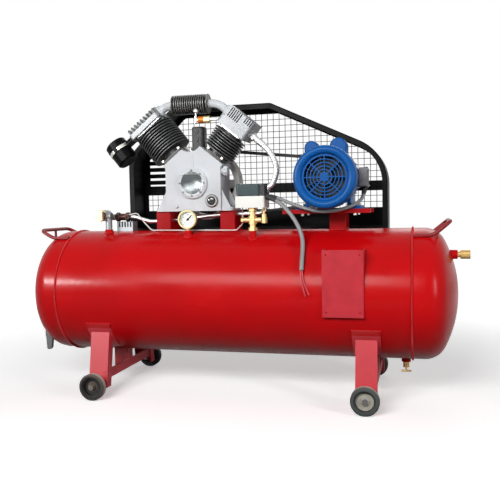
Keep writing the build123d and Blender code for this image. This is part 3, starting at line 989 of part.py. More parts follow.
def make_motor_frame():
    """Ribbed stator frame, end shields, feet and the two capacitor housings on top."""
    front, back = MOTOR_BODY_FRONT_Y, MOTOR_BODY_BACK_Y
    length, radius, bore = back - front, MOTOR_BODY_OD / 2, STATOR_OD / 2
    tip = radius + MOTOR_FIN_HEIGHT
    frame = rod_y(MOTOR_X, front, back, MOTOR_Z, MOTOR_BODY_OD)
    for index in range(MOTOR_FIN_COUNT):
        fin = Pos(0, 0, (radius + tip) / 2 - 2) * Box(MOTOR_FIN_THICKNESS, length - 12, tip - radius + 4)
        spin = (index + 0.5) * 360 / MOTOR_FIN_COUNT
        frame += Pos(MOTOR_X, (front + back) / 2, MOTOR_Z) * Rot(0, spin, 0) * fin
    for side in (-1, 1):
        x0, x1 = MOTOR_X + side * FEET_INNER, MOTOR_X + side * FEET_OUTER
        frame += block(x0, x1, front + 6, back - 6, MOTOR_BASE_Z, MOTOR_BASE_Z + FOOT_PLATE)
        frame += block(x0, x0 + side * 14, front + 6, back - 6, MOTOR_BASE_Z, MOTOR_Z - 40)
    for dx, half, top in EARS:
        middle = MOTOR_X + dx
        ear = block(middle - half, middle + half, EAR_FRONT_Y, EAR_BACK_Y, MOTOR_Z, MOTOR_Z + top - half)
        ear += rod_y(middle, EAR_FRONT_Y, EAR_BACK_Y, MOTOR_Z + top - half, 2 * half)
        frame += chamfer(ear.faces().sort_by(Axis.Y)[0].edges().sort_by(Axis.Z)[1:], 5)
    neck = MOTOR_X + TERMINAL_START
    frame += block(MOTOR_X + radius * 0.8, neck, terminal_y()[0] + 12, terminal_y()[1] - 12,
                   MOTOR_Z - 20, MOTOR_Z + 28)
    frame -= rod_y(MOTOR_X, front - 1, back + 1, MOTOR_Z, STATOR_OD)
    for side in (-1, 1):
        for y in (FOOT_BOLT_FRONT_Y, FOOT_BOLT_BACK_Y):
            frame -= rod_z(MOTOR_X + side * MOTOR_FOOT_X, y, MOTOR_BASE_Z - 1,
                           MOTOR_BASE_Z + FOOT_PLATE + 1, FOOT_BOLT_HOLE)
    shaft_hole, seat = MOTOR_SHAFT / 2 + 1, MOTOR_BEARING_OD / 2
    outer, boss = SHIELD_OD / 2, SHIELD_BOSS_OD / 2
    front_shield = turned_motor([(seat, 0), (outer - 8, 0), (outer, 6), (outer, SHIELD_FRONT),
                                 (seat, SHIELD_FRONT)], front - SHIELD_FRONT)
    lugs = hub(COWL_OD - 2 * COWL_WALL, SHIELD_OD - 4, SHIELD_FRONT)
    lug_mask = Box(COWL_OD, 24, 2 * SHIELD_FRONT) + Box(24, COWL_OD, 2 * SHIELD_FRONT)
    front_shield += facing_back(lugs & lug_mask, MOTOR_X, front - SHIELD_FRONT, MOTOR_Z)
    inset = BEARING_INSET
    back_shield = turned_motor([(bore, 0), (outer, 0), (outer, 12), (boss + 14, 18), (boss, SHIELD_THICKNESS),
                                (shaft_hole, SHIELD_THICKNESS), (shaft_hole, inset + MOTOR_BEARING_WIDTH),
                                (seat, inset + MOTOR_BEARING_WIDTH), (seat, 0)], back)
    stator = turned_motor([(STATOR_BORE / 2, 0), (bore, 0), (bore, ROTOR_LENGTH), (STATOR_BORE / 2, ROTOR_LENGTH)],
                          (front + back - ROTOR_LENGTH) / 2)
    return frame, front_shield, back_shield, stator


def terminal_y():
    """Front and back planes of the terminal box."""
    return TERMINAL_BOX_Y - TERMINAL_BOX_WIDTH / 2, TERMINAL_BOX_Y + TERMINAL_BOX_WIDTH / 2


def make_terminal_box():
    """Terminal box with a stepped lid, beside the frame."""
    x0 = MOTOR_X + TERMINAL_START
    y0, y1 = terminal_y()
    z0 = MOTOR_Z + TERMINAL_BOX_Z - TERMINAL_BOX_HEIGHT / 2
    box = block(x0, x0 + TERMINAL_DEPTH - 8, y0, y1, z0, z0 + TERMINAL_BOX_HEIGHT)
    box = fillet(box.edges().filter_by(Axis.X), 6)
    lid = block(x0 + TERMINAL_DEPTH - 8, x0 + TERMINAL_DEPTH, y0 - 2, y1 + 2, z0 - 2,
                z0 + TERMINAL_BOX_HEIGHT + 2)
    lid = fillet(lid.edges().filter_by(Axis.X), 8)
    lid = chamfer(lid.faces().sort_by(Axis.X)[-1].edges(), 3)
    return box + lid


def make_fan_cover():
    """Pressed cowl: rolled front edge round a sunken grille of rings and bars."""
    outer, wall, roll = COWL_OD / 2, COWL_WALL, COWL_ROLL
    depth = COWL_BACK_Y - COWL_FRONT_Y
    inner, middle = outer - 2 * roll, outer - roll
    outside = [Line((0, roll), (inner, roll)), ThreePointArc((inner, roll), (middle, 0), (outer, roll)),
               Line((outer, roll), (outer, depth))]
    inside = [Line((outer, depth), (outer - wall, depth)), Line((outer - wall, depth), (outer - wall, roll)),
              ThreePointArc((outer - wall, roll), (middle, wall), (inner + wall, roll)),
              Line((inner + wall, roll), (inner + wall, roll + wall)),
              Line((inner + wall, roll + wall), (0, roll + wall)), Line((0, roll + wall), (0, roll))]
    section = Plane.XZ * make_face(outside + inside)
    cowl = revolve(section, Axis.Z)
    slots = Sketch()
    for index in range(GRILLE_RINGS):
        radius = GRILLE_FIRST_RADIUS + index * GRILLE_PITCH
        slots += Circle(radius + GRILLE_SLOT) - Circle(radius)
    for index in range(GRILLE_SPOKES):
        angle = index * 180 / GRILLE_SPOKES
        slots -= Rot(0, 0, angle) * Rectangle(COWL_OD, GRILLE_SPOKE_WIDTH)
    cowl -= Pos(0, 0, roll - wall) * extrude(slots, amount=3 * wall)
    return facing_back(cowl, MOTOR_X, COWL_FRONT_Y, MOTOR_Z)


def make_motor_fan():
    """Radial cooling fan on the shaft's free end."""
    outer, core = FAN_OD / 2, FAN_HUB_OD / 2
    fan = hub(FAN_HUB_OD, MOTOR_SHAFT, FAN_WIDTH)
    fan += Pos(0, 0, FAN_WIDTH) * (Cylinder(outer - 22, 3, align=(Align.CENTER, Align.CENTER, Align.MAX))
                                   - Cylinder(core - 1, 8))
    for index in range(FAN_BLADES):
        blade = Pos((core + outer) / 2 - 1, 0, FAN_WIDTH / 2) * Box(outer - core + 2, FAN_BLADE_THICKNESS, FAN_WIDTH)
        fan += Rot(0, 0, index * 360 / FAN_BLADES) * blade
    return facing_back(fan, MOTOR_X, FAN_FRONT_Y, MOTOR_Z)


def make_motor_rotor():
    """Rotor core and its shaft from the fan to the pulley."""
    start = FAN_FRONT_Y - 2
    shaft, core = MOTOR_SHAFT / 2, ROTOR_OD / 2
    middle = (MOTOR_BODY_FRONT_Y + MOTOR_BODY_BACK_Y) / 2 - start
    end = SHEAVE_BACK_Y - start
    profile = [(0, 0), (shaft, 0), (shaft, middle - ROTOR_LENGTH / 2), (core, middle - ROTOR_LENGTH / 2),
               (core, middle + ROTOR_LENGTH / 2), (shaft, middle + ROTOR_LENGTH / 2), (shaft, end),
               (shaft + 6, end), (shaft + 6, end + 4), (0, end + 4)]
    return turned_motor(profile, start)


def make_motor_base():
    """Two slide rails on cross bars, over the box pedestal that stands on the receiver."""
    rail_low = MOTOR_BASE_Z - RAIL_HEIGHT
    base = None
    for y in (FOOT_BOLT_FRONT_Y, FOOT_BOLT_BACK_Y):
        rail = block(RAIL_LEFT, RAIL_RIGHT, y - RAIL_WIDTH / 2, y + RAIL_WIDTH / 2, rail_low, MOTOR_BASE_Z)
        rail = fillet(rail.edges().filter_by(Axis.Z), 5)
        for side in (-1, 1):
            rail -= rod_z(MOTOR_X + side * MOTOR_FOOT_X, y, rail_low - 1, MOTOR_BASE_Z + 1, FOOT_BOLT_HOLE)
        base = rail if base is None else base + rail
    left, right = MOTOR_PEDESTAL_X - PEDESTAL_WIDTH / 2, MOTOR_PEDESTAL_X + PEDESTAL_WIDTH / 2
    base += block(left, right, FOOT_BOLT_FRONT_Y, FOOT_BOLT_BACK_Y, rail_low, MOTOR_BASE_Z)
    base += pedestal(left, right, MOTOR_PEDESTAL_FRONT_Y, MOTOR_PEDESTAL_BACK_Y, rail_low)
    return base


def pedestal(left, right, front, back, top):
    """Folded box standing on the receiver, open below."""
    box = block(left, right, front, back, TANK_AXIS_Z + TANK_RADIUS / 2, top)
    box = fillet(box.edges().filter_by(Axis.Z), PEDESTAL_WALL)
    box -= block(left + PEDESTAL_WALL, right - PEDESTAL_WALL, front + PEDESTAL_WALL,
                 back - PEDESTAL_WALL, 0, top - PEDESTAL_WALL)
    return box - shell_cylinder()


def make_pump_brackets():
    """Two pedestals under the pump's foot, holed for the delivery pipe."""
    brackets = []
    middle = (CASE_FRONT_Y + CASE_BACK_Y) / 2
    for side in (-1, 1):
        x = CRANK_X + side * FOOT_BOLT_X
        box = pedestal(x - PEDESTAL_WIDTH / 2, x + PEDESTAL_WIDTH / 2, PUMP_PEDESTAL_FRONT_Y,
                       PUMP_PEDESTAL_BACK_Y, CASE_BASE_Z)
        for y in (middle - FOOT_BOLT_Y, middle + FOOT_BOLT_Y):
            box -= rod_z(x, y, CASE_BASE_Z - 2 * PEDESTAL_WALL, CASE_BASE_Z + 1, FOOT_BOLT_HOLE)
        brackets.append(box - pipe_run(PIPE_OD + 2 * PIPE_HOLE_CLEARANCE, 0))
    return brackets


def hex_bolt(x, y, z, length):
    """Hexagon head standing on z with its shank below."""
    head = Pos(x, y, z) * hex_prism(FOOT_BOLT_AF, FOOT_BOLT_HEAD)
    return head + rod_z(x, y, z - length, z + 1, FOOT_BOLT)


def make_bolts():
    """Foot bolts of the pump and the motor, and the head bolts of both cylinders."""
    bolts = [hex_bolt(CRANK_X + dx, y, CASE_BASE_Z + FOOT_THICKNESS, FOOT_THICKNESS + PEDESTAL_WALL + 8)
             for dx, y in foot_bolt_places()]
    for side in (-1, 1):
        for y in (FOOT_BOLT_FRONT_Y, FOOT_BOLT_BACK_Y):
            bolts.append(hex_bolt(MOTOR_X + side * MOTOR_FOOT_X, y, MOTOR_BASE_Z + FOOT_PLATE,
                                  FOOT_PLATE + RAIL_HEIGHT + 8))
    deck = DECK_DISTANCE + BASE_FLANGE_THICKNESS
    nut = hex_prism(NUT_AF, NUT_HEIGHT)
    for frame, across, deep in ((LP_FRAME, LP_FLANGE_ACROSS, LP_FLANGE_DEPTH), (HP_FRAME, HP_FLANGE, HP_FLANGE)):
        for sx in (-1, 1):
            for sy in (-1, 1):
                bolts.append(frame * Pos(sx * (across / 2 - NUT_INSET), sy * (deep / 2 - NUT_INSET), deck) * nut)
    return bolts


# ================================================================ belt guard
def guard_outline():
    """Outer outline of the guard in X and Z, its upper corners rounded."""
    corners = [(GUARD_LEFT, GUARD_BOTTOM), (GUARD_RIGHT, GUARD_BOTTOM), (GUARD_RIGHT, GUARD_RIGHT_EAVE_Z),
               (GUARD_TOP_RIGHT_X, GUARD_TOP), (GUARD_TOP_LEFT_X, GUARD_TOP), (GUARD_LEFT, GUARD_LEFT_EAVE_Z)]
    face = make_face(Polyline(*corners, close=True))
    face = fillet(face.vertices().sort_by(Axis.X)[:2].sort_by(Axis.Y)[-1], GUARD_RADIUS_LEFT)
    face = fillet(face.vertices().sort_by(Axis.X)[-2:].sort_by(Axis.Y)[-1], GUARD_RADIUS_RIGHT)
    top = face.vertices().sort_by(Axis.Y)[-2:].sort_by(Axis.X)
    face = fillet(top[0], GUARD_RADIUS_CREST)
    return fillet(face.vertices().sort_by(Axis.Y)[-1], GUARD_RADIUS_KNEE)


def guard_plate(sketch, y0, y1):
    """Extrude a sketch drawn in X and Z between two Y planes."""
    placed = Plane(origin=(0, y0, 0), x_dir=(1, 0, 0), z_dir=(0, -1, 0)) * sketch
    return extrude(placed, amount=y1 - y0, dir=(0, 1, 0))


def louvre_panel():
    """Blank rectangle at the guard's left edge and the slots in it, drawn in X and Z."""
    left = GUARD_LEFT + GUARD_FLANGE
    width, height = LOUVRE_RIGHT - left, LOUVRE_TOP - GUARD_SPLIT_Z
    blank = Pos(left + width / 2, GUARD_SPLIT_Z + height / 2) * Rectangle(width, height)
    slots = Sketch()
    for index in range(LOUVRE_COUNT):
        z = LOUVRE_FIRST_Z + index * LOUVRE_PITCH
        slots += Pos(left + width / 2, z) * Rectangle(width - 2 * LOUVRE_MARGIN, LOUVRE_HEIGHT)
    return blank, slots


def guard_half(side):
    """One half of the guard: rim, front and back flanges, net on the back; side is +1 for the upper."""
    reach = GUARD_TOP
    window = Pos((GUARD_LEFT + GUARD_RIGHT) / 2, GUARD_SPLIT_Z + side * reach / 2) * Rectangle(
        2 * (GUARD_RIGHT - GUARD_LEFT), reach)
    outline = guard_outline() & window
    wall = outline - offset(guard_outline(), -GUARD_SHEET, kind=Kind.INTERSECTION)
    inside = offset(guard_outline(), -GUARD_FLANGE, kind=Kind.INTERSECTION)
    opening = offset(outline, -GUARD_FLANGE, kind=Kind.INTERSECTION)
    netted = Pos(0, GUARD_SKIRT_TOP + reach / 2) * Rectangle(2 * (GUARD_RIGHT - GUARD_LEFT), reach)
    cells = Sketch()
    columns = int((GUARD_RIGHT - GUARD_LEFT) / NET_CELL) + 1
    rows = int((GUARD_TOP - GUARD_BOTTOM) / NET_CELL) + 1
    for column in range(columns):
        for row in range(rows):
            x = GUARD_LEFT + GUARD_FLANGE + (column + 0.5) * NET_CELL
            z = GUARD_SKIRT_TOP + (row + 0.5) * NET_CELL
            cells += Pos(x, z) * Rectangle(NET_CELL - NET_BAR, NET_CELL - NET_BAR)
    cells &= opening & netted
    if side > 0:
        blank, slots = louvre_panel()
        cells = cells - blank + slots
    half = guard_plate(wall, GUARD_FRONT_Y, GUARD_BACK_Y)
    half += guard_plate(outline - inside, GUARD_FRONT_Y, GUARD_FRONT_Y + GUARD_SHEET)
    half += guard_plate(outline - cells, GUARD_BACK_Y - NET_THICKNESS, GUARD_BACK_Y)
    return half


def make_guard_upper():
    """Upper guard half with the louvred panel."""
    return guard_half(1)


def make_guard_lower():
    """Lower guard half with the two feet welded to the receiver."""
    half = guard_half(-1)
    sheet, depth = GUARD_FOOT_SHEET, GUARD_FOOT_DEPTH
    for x in (-GUARD_FOOT_X, GUARD_FOOT_X):
        left, right = x - GUARD_FOOT_WIDTH / 2, x + GUARD_FOOT_WIDTH / 2
        foot = block(left, right, GUARD_FRONT_Y, GUARD_FRONT_Y + depth, TANK_AXIS_Z, GUARD_BOTTOM)
        foot -= block(left + sheet, right - sheet, GUARD_FRONT_Y - 1, GUARD_FRONT_Y + depth + 1,
                      0, GUARD_BOTTOM - sheet)
        half += foot - shell_cylinder()
    return half


# ================================================================ instruments and piping
def on_gauge(shape):
    """Place a part turned about Z so that it looks to the front from the case's back."""
    return Pos(GAUGE_X, GAUGE_BACK_Y, GAUGE_Z) * Rot(90, 0, 0) * shape


def make_gauge_case():
    """Round case with rolled bezel, ledges for dial and glass, and its screwed stem."""
    outer, seat = GAUGE_CASE_OD / 2, GAUGE_DIAL_OD / 2
    case = turned([(0, 0), (outer - 6, 0), (outer - 3, 3), (outer - 3, GAUGE_DEPTH - 10),
                   (outer, GAUGE_DEPTH - 8), (outer, GAUGE_DEPTH - 2), (outer - 2, GAUGE_DEPTH),
                   (seat - 2, GAUGE_DEPTH), (seat - 2, GLASS_LEDGE + GAUGE_GLASS_THICKNESS),
                   (seat, GLASS_LEDGE + GAUGE_GLASS_THICKNESS), (seat, DIAL_LEDGE),
                   (seat - 3, DIAL_LEDGE), (seat - 3, 3), (0, 3)])
    low = GAUGE_Z - GAUGE_CASE_OD / 2
    stem = Pos(GAUGE_X, GAUGE_Y, GAUGE_BOSS_TOP) * hex_prism(GAUGE_STEM_AF, low + 6 - GAUGE_BOSS_TOP)
    room = facing_back(Cylinder(outer - 4, 200), GAUGE_X, GAUGE_BACK_Y, GAUGE_Z)
    return on_gauge(case) + (stem - room)


def make_gauge_dial():
    """Dial plate with the hole for the needle's arbor."""
    dial = Cylinder(GAUGE_DIAL_OD / 2, DIAL_THICKNESS, align=(Align.CENTER, Align.CENTER, Align.MIN))
    dial -= Cylinder(NEEDLE_PIN / 2 + RUNNING_CLEARANCE, 10)
    return on_gauge(Pos(0, 0, DIAL_LEDGE) * dial)


def make_gauge_needle():
    """Tapered needle with a tail, its hub and arbor."""
    level = DIAL_LEDGE + DIAL_THICKNESS + SIDE_CLEARANCE
    blade = make_face(Polyline((-1.6, -8), (1.6, -8), (2.2, 0), (0.6, NEEDLE_LENGTH),
                               (-0.6, NEEDLE_LENGTH), (-2.2, 0), close=True))
    needle = Pos(0, 0, level + 2) * extrude(blade, amount=NEEDLE_THICKNESS)
    needle += Pos(0, 0, level) * Cylinder(4, 4, align=(Align.CENTER, Align.CENTER, Align.MIN))
    needle += Pos(0, 0, DIAL_LEDGE - 4) * Cylinder(NEEDLE_PIN / 2, 6 + level - DIAL_LEDGE,
                                                   align=(Align.CENTER, Align.CENTER, Align.MIN))
    return on_gauge(Rot(0, 0, -NEEDLE_REST) * needle)


def make_gauge_lens():
    """Flat glass held under the bezel."""
    glass = Cylinder(GAUGE_DIAL_OD / 2, GAUGE_GLASS_THICKNESS, align=(Align.CENTER, Align.CENTER, Align.MIN))
    return on_gauge(Pos(0, 0, GLASS_LEDGE) * glass)


def make_manifold():
    """Brass cross between the receiver's boss and the pressure switch."""
    body = rod_z(MANIFOLD_X, MANIFOLD_Y, MANIFOLD_BOSS_TOP, SWITCH_Z, 22)
    body += Pos(MANIFOLD_X, MANIFOLD_Y, MANIFOLD_BOSS_TOP) * hex_prism(30, 12)
    body += Pos(MANIFOLD_X, MANIFOLD_Y, SWITCH_Z - 14) * hex_prism(30, 14)
    body += rod_x(MANIFOLD_X - ARM_REACH, MANIFOLD_X + ARM_REACH, MANIFOLD_Y, ARM_Z, ARM_OD)
    body += Pos(MANIFOLD_X, MANIFOLD_Y, ARM_Z - 15) * hex_prism(28, 30)
    plug = hex_between((MANIFOLD_X - ARM_REACH - 8, MANIFOLD_Y, ARM_Z), (MANIFOLD_X - ARM_REACH, MANIFOLD_Y, ARM_Z), 20)
    return body + plug


def make_tank_safety_valve():
    """Pop safety valve on the manifold's right arm, with its pull ring."""
    x = MANIFOLD_X + ARM_REACH + 10
    valve = rod_z(x, MANIFOLD_Y, ARM_Z - 10, ARM_Z + 22, 18)
    valve += Pos(x, MANIFOLD_Y, ARM_Z - 12) * hex_prism(20, 20)
    valve += rod_z(x, MANIFOLD_Y, ARM_Z + 22, ARM_Z + 32, 6)
    valve -= rod_x(0, MANIFOLD_X + ARM_REACH, MANIFOLD_Y, ARM_Z, 2 * ARM_OD)
    ring = Pos(x, MANIFOLD_Y, ARM_Z + 36) * Rot(90, 0, 0) * Torus(7, 1.5)
    return valve + ring


def make_switch_base():
    """Open-backed moulded base of the pressure switch with rounded corners."""
    right, back = SWITCH_LEFT + SWITCH_WIDTH, SWITCH_FRONT_Y + SWITCH_DEPTH
    base = block(SWITCH_LEFT, right, SWITCH_FRONT_Y, back, SWITCH_Z, SWITCH_Z + SWITCH_HEIGHT)
    base = fillet(base.edges().filter_by(Axis.Z), 8)
    base = fillet(base.faces().sort_by(Axis.Z)[-1].edges(), 3)
    wall = SWITCH_WALL
    room = block(SWITCH_LEFT + wall, right - wall, SWITCH_FRONT_Y + wall, back - wall,
                 SWITCH_Z + 4, SWITCH_Z + SWITCH_HEIGHT - 4)
    return base - room


def make_switch_cover():
    """Cover box on the base with a stepped foot and a softened top."""
    left = SWITCH_LEFT + 4
    front = SWITCH_FRONT_Y + (SWITCH_DEPTH - COVER_BOX_DEPTH) / 2
    low = SWITCH_Z + SWITCH_HEIGHT
    cover = block(left, left + COVER_BOX_WIDTH, front, front + COVER_BOX_DEPTH, low + COVER_BOX_GAP,
                  low + COVER_BOX_GAP + COVER_BOX_HEIGHT)
    cover = fillet(cover.edges().filter_by(Axis.Z), 8)
    cover = fillet(cover.faces().sort_by(Axis.Z)[-1].edges(), 5)
    foot = block(left + 5, left + COVER_BOX_WIDTH - 5, front + 5, front + COVER_BOX_DEPTH - 5, low,
                 low + COVER_BOX_GAP)
    return cover + foot


def largest_radii(points):
    """Radius of each bend, as large as its two straight runs allow."""
    vectors = [Vector(*point) for point in points]
    runs = [end - start for start, end in zip(vectors, vectors[1:])]
    radii = []
    for before, after in zip(runs, runs[1:]):
        half_turn = math.radians(before.get_angle(after)) / 2
        radii.append(0.45 * min(before.length, after.length) / math.tan(half_turn))
    return radii


def cord(points, diameter, name):
    """Cord along straight runs joined by the largest tangent arcs; prints its radii and volume."""
    radii = largest_radii(points)
    tube = bent_rod(points, radii, diameter)
    length = FilletPolyline(*points, radius=radii).length
    ratio = tube.volume / (length * math.pi * diameter ** 2 / 4)
    print(f"{name}: least radius {min(radii):.1f} mm, length {length:.0f} mm, volume ratio {ratio:.4f}")
    return tube


def gland(point, towards, diameter, length):
    """Cable gland whose outer face meets the cord's end."""
    way = (Vector(*point) - Vector(*towards)).normalized()
    inner = Vector(*point) + way * length
    nut_end = Vector(*point) + way * 9
    dome = rod_between(tuple(inner), point, diameter - 4)
    return dome + hex_between(tuple(inner), tuple(nut_end), diameter)


def make_switch_glands():
    """Cable block beside the cover, the two glands of the switch and the motor's gland."""
    base_right = SWITCH_LEFT + SWITCH_WIDTH
    cover_right = SWITCH_LEFT + 4 + COVER_BOX_WIDTH
    low = SWITCH_Z + SWITCH_HEIGHT
    clamp = block(cover_right, base_right - 2, SWITCH_FRONT_Y + 14, SWITCH_FRONT_Y + SWITCH_DEPTH - 14,
                  low, low + COVER_BOX_HEIGHT)
    clamp = fillet(clamp.edges().filter_by(Axis.Y), 5)
    keep_out = block(0, base_right, SWITCH_FRONT_Y, SWITCH_FRONT_Y + SWITCH_DEPTH, SWITCH_Z, low)
    mains = gland(MAINS_ROUTE[0], MAINS_ROUTE[1], 24, 22) - keep_out
    motor = gland(MOTOR_ROUTE[0], MOTOR_ROUTE[1], 22, 22) - keep_out
    far = gland(MOTOR_ROUTE[-1], MOTOR_ROUTE[-2], 22, 20) - make_terminal_box()
    return clamp, mains, motor, far


def make_mains_cord():
    """Mains cord over the receiver with two bare cores at its end."""
    sheath = cord(MAINS_ROUTE, MAINS_OD, "mains cord")
    cores = [cord(route, CORE_OD, "core") for route in CORE_ROUTES]
    return [sheath] + cores


def make_motor_cable():
    """Cable from the switch to the motor's terminal box."""
    return cord(MOTOR_ROUTE, MOTOR_CORD_OD, "motor cable")


def pipe_run(diameter, wall):
    """The delivery pipe's route as a tube, or as a solid bar without a wall."""
    return bent_rod(PIPE_ROUTE, PIPE_RADII, diameter, wall)


def hose_points():
    """Route of the braided hose from the high-pressure head down to the pipe."""
    (x, z), (dx, dz) = side_port(1, HP_HEAD_WIDTH / 2, HOSE_PORT_ALONG)
    start = (x + dx * HOSE_FITTING, PIPE_Y, z + dz * HOSE_FITTING)
    leave = (start[0] + dx * 46, PIPE_Y, start[2] + dz * 46)
    bottom = PIPE_TOP[2] + HOSE_BOTTOM_FITTING
    return [start, leave, (166, PIPE_Y, 866), (152, PIPE_Y, 802), (PIPE_TOP[0], PIPE_Y, bottom + 26),
            (PIPE_TOP[0], PIPE_Y, bottom)]


def make_discharge_pipe():
    """Steel delivery pipe with the hose's fitting at each end of the hose."""
    pipe = pipe_run(PIPE_OD, PIPE_WALL)
    low = PIPE_TOP[2]
    bottom = Pos(PIPE_TOP[0], PIPE_Y, low) * hex_prism(27, HOSE_BOTTOM_FITTING)
    (x, z), (dx, dz) = side_port(1, HP_HEAD_WIDTH / 2, HOSE_PORT_ALONG)
    port, start = (x, PIPE_Y, z), hose_points()[0]
    middle = (x + dx * 16, PIPE_Y, z + dz * 16)
    top = hex_between(port, middle, 30) + rod_between(middle, start, 24)
    return pipe, bottom, top


def make_discharge_hose():
    """Braided delivery hose, held at both ends."""
    points = hose_points()
    return bent_rod(points, largest_radii(points), HOSE_OD)


def make_check_valve():
    """Check valve body over the inlet boss and the finned pilot block beside it."""
    body = rod_y(VALVE_BODY_X, -70, -14, PIPE_ROUTE[-1][2] + 7, 44)
    body += rod_z(INLET_X, INLET_Y, INLET_BOSS_TOP, PIPE_ROUTE[-1][2] + 4, 26)
    body += rod_x(VALVE_BODY_X, INLET_X + 13, INLET_Y, PIPE_ROUTE[-1][2] + 4, 30)
    link = rod_x(VALVE_BODY_X, TEE_LEFT, -20, PIPE_ROUTE[-1][2], 24)
    body += link
    pilot = block(PILOT_LEFT, PILOT_LEFT + 68, -24, 24, TANK_AXIS_Z + TANK_RADIUS / 2, 662)
    for index in range(5):
        x = PILOT_LEFT + 8 + index * 12
        pilot -= block(x, x + 6, -25, 25, 640, 663)
    return body, pilot - shell_cylinder()


def make_inlet_tee():
    """Brass tee between pipe and check valve, and the valve's hexagon cap."""
    z = PIPE_ROUTE[-1][2]
    tee = rod_x(TEE_LEFT, TEE_RIGHT, -6, z, 28)
    tee += hex_between((TEE_LEFT, -6, z), (TEE_LEFT + 14, -6, z), 32)
    tee += hex_between((TEE_RIGHT - 14, -6, z), (TEE_RIGHT, -6, z), 32)
    port = Vector(*UNLOADER_ROUTE[0])
    way = (port - Vector(*UNLOADER_ROUTE[1])).normalized()
    tee += rod_between(tuple(port + way * 20), tuple(port), 11)
    cap = hex_between((VALVE_BODY_X, -70, z + 7), (VALVE_BODY_X, -84, z + 7), 40)
    return tee, cap


def make_unloader_tube():
    """Thin unloader line along the receiver to the pressure switch."""
    return bent_rod(UNLOADER_ROUTE, UNLOADER_RADII, CAPILLARY_OD)


# ================================================================ export
def piston_place(frame, top):
    """Frame of a piston's crown at rest."""
    return frame * Pos(0, 0, crown_at_rest(top))


def main():
    """Build every piece and write one STEP file for each."""
    core, tyre = make_wheel()
    wheels = {}
    for end, x in (("left", LEG_X_LEFT), ("right", LEG_X_RIGHT)):
        for row, side in (("front", -1), ("rear", 1)):
            place = wheel_place(x, side)
            wheels[f"wheel_{row}_{end}"] = [place * core, place * tyre]
    pieces = {
        "tank": [make_tank()],
        "leg_frame_left": [make_leg_frame(LEG_X_LEFT)],
        "leg_frame_right": [make_leg_frame(LEG_X_RIGHT)],
        **wheels,
        "wheel_axles": make_axles(),
        "tank_handles": [make_handle(-1, HANDLE_TIP_Z_LEFT), make_handle(1, HANDLE_TIP_Z_RIGHT)],
        "tow_lug": [make_tow_lug()],
        "starter_plate": [make_starter_plate()],
        "outlet_fitting": [make_outlet_fitting()],
        "drain_valve_body": [make_drain_body()],
        "drain_handle": [make_drain_handle()],
        "gauge_case": [make_gauge_case()],
        "gauge_dial": [make_gauge_dial()],
        "gauge_needle": [make_gauge_needle()],
        "gauge_lens": [make_gauge_lens()],
        "pressure_manifold": [make_manifold()],
        "tank_safety_valve": [make_tank_safety_valve()],
        "switch_base": [make_switch_base()],
        "switch_cover": [make_switch_cover()],
        "switch_glands": list(make_switch_glands()),
        "unloader_tube": [make_unloader_tube()],
        "check_valve": list(make_check_valve()),
        "inlet_tee": list(make_inlet_tee()),
        "discharge_pipe": list(make_discharge_pipe()),
        "discharge_hose": [make_discharge_hose()],
        "pump_brackets": make_pump_brackets(),
        "crankcase": [make_crankcase()],
        "crankcase_cover": [make_crankcase_cover()],
        "sight_glass": [make_sight_glass()],
        "filler_and_breather": [make_filler(), make_breather()],
        "crankshaft": [make_crankshaft()],
        "flywheel": [make_flywheel()],
        "shaft_bearings": make_shaft_bearings(),
        "low_pressure_cylinder": [make_lp_cylinder()],
        "low_pressure_head": [make_lp_head()],
        "high_pressure_cylinder": [make_hp_cylinder()],
        "high_pressure_head": [make_hp_head()],
        "valve_plates": make_valve_plates(),
        "low_pressure_piston": [piston_place(LP_FRAME, LP_TOP) * piston(LP_BORE, LP_PISTON_LENGTH, 22)],
        "high_pressure_piston": [piston_place(HP_FRAME, HP_TOP) * piston(HP_BORE, HP_PISTON_LENGTH, 16)],
        "intercooler": [make_intercooler()],
        "intercooler_elbows": list(make_elbows()),
        "air_filter": [make_air_filter()],
        "interstage_valve": [make_interstage_valve()],
        "guard_upper": [make_guard_upper()],
        "guard_lower": [make_guard_lower()],
        "drive_belts": make_drive_belts(),
        "motor_frame": list(make_motor_frame()),
        "motor_fan_cover": [make_fan_cover()],
        "motor_rotor": [make_motor_rotor()],
        "motor_fan": [make_motor_fan()],
        "motor_pulley": [make_motor_pulley()],
        "motor_terminal_box": [make_terminal_box()],
        "motor_base": [make_motor_base()],
        "mains_cord": make_mains_cord(),
        "motor_cable": [make_motor_cable()],
        "bolts": make_bolts(),
    }
    os.makedirs("parts", exist_ok=True)
    to_origin = Pos(-ORIGIN_X, 0, 0)
    for name, solids in pieces.items():
        placed = [to_origin * solid for solid in solids]
        export_step(Compound(placed) if len(placed) > 1 else placed[0], f"parts/{name}.step")


if __name__ == "__main__":
    main()
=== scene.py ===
"""Dresses a belt-driven two-stage air compressor that stands on a wheeled horizontal receiver.

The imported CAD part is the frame. Rigid nodes keep their solids and get finishes. The wire guard, hose
braid, cords, gauge face, weld ripples, filter band, sight lens and screw heads are built here. All lengths
are in metres, in the part's own frame: X to the right, Y to the back, Z up.
"""

from __future__ import annotations

import json
import logging
import math
from collections.abc import Sequence
from dataclasses import dataclass
from enum import Enum

import bmesh
import bpy
from mathutils import Matrix, Vector

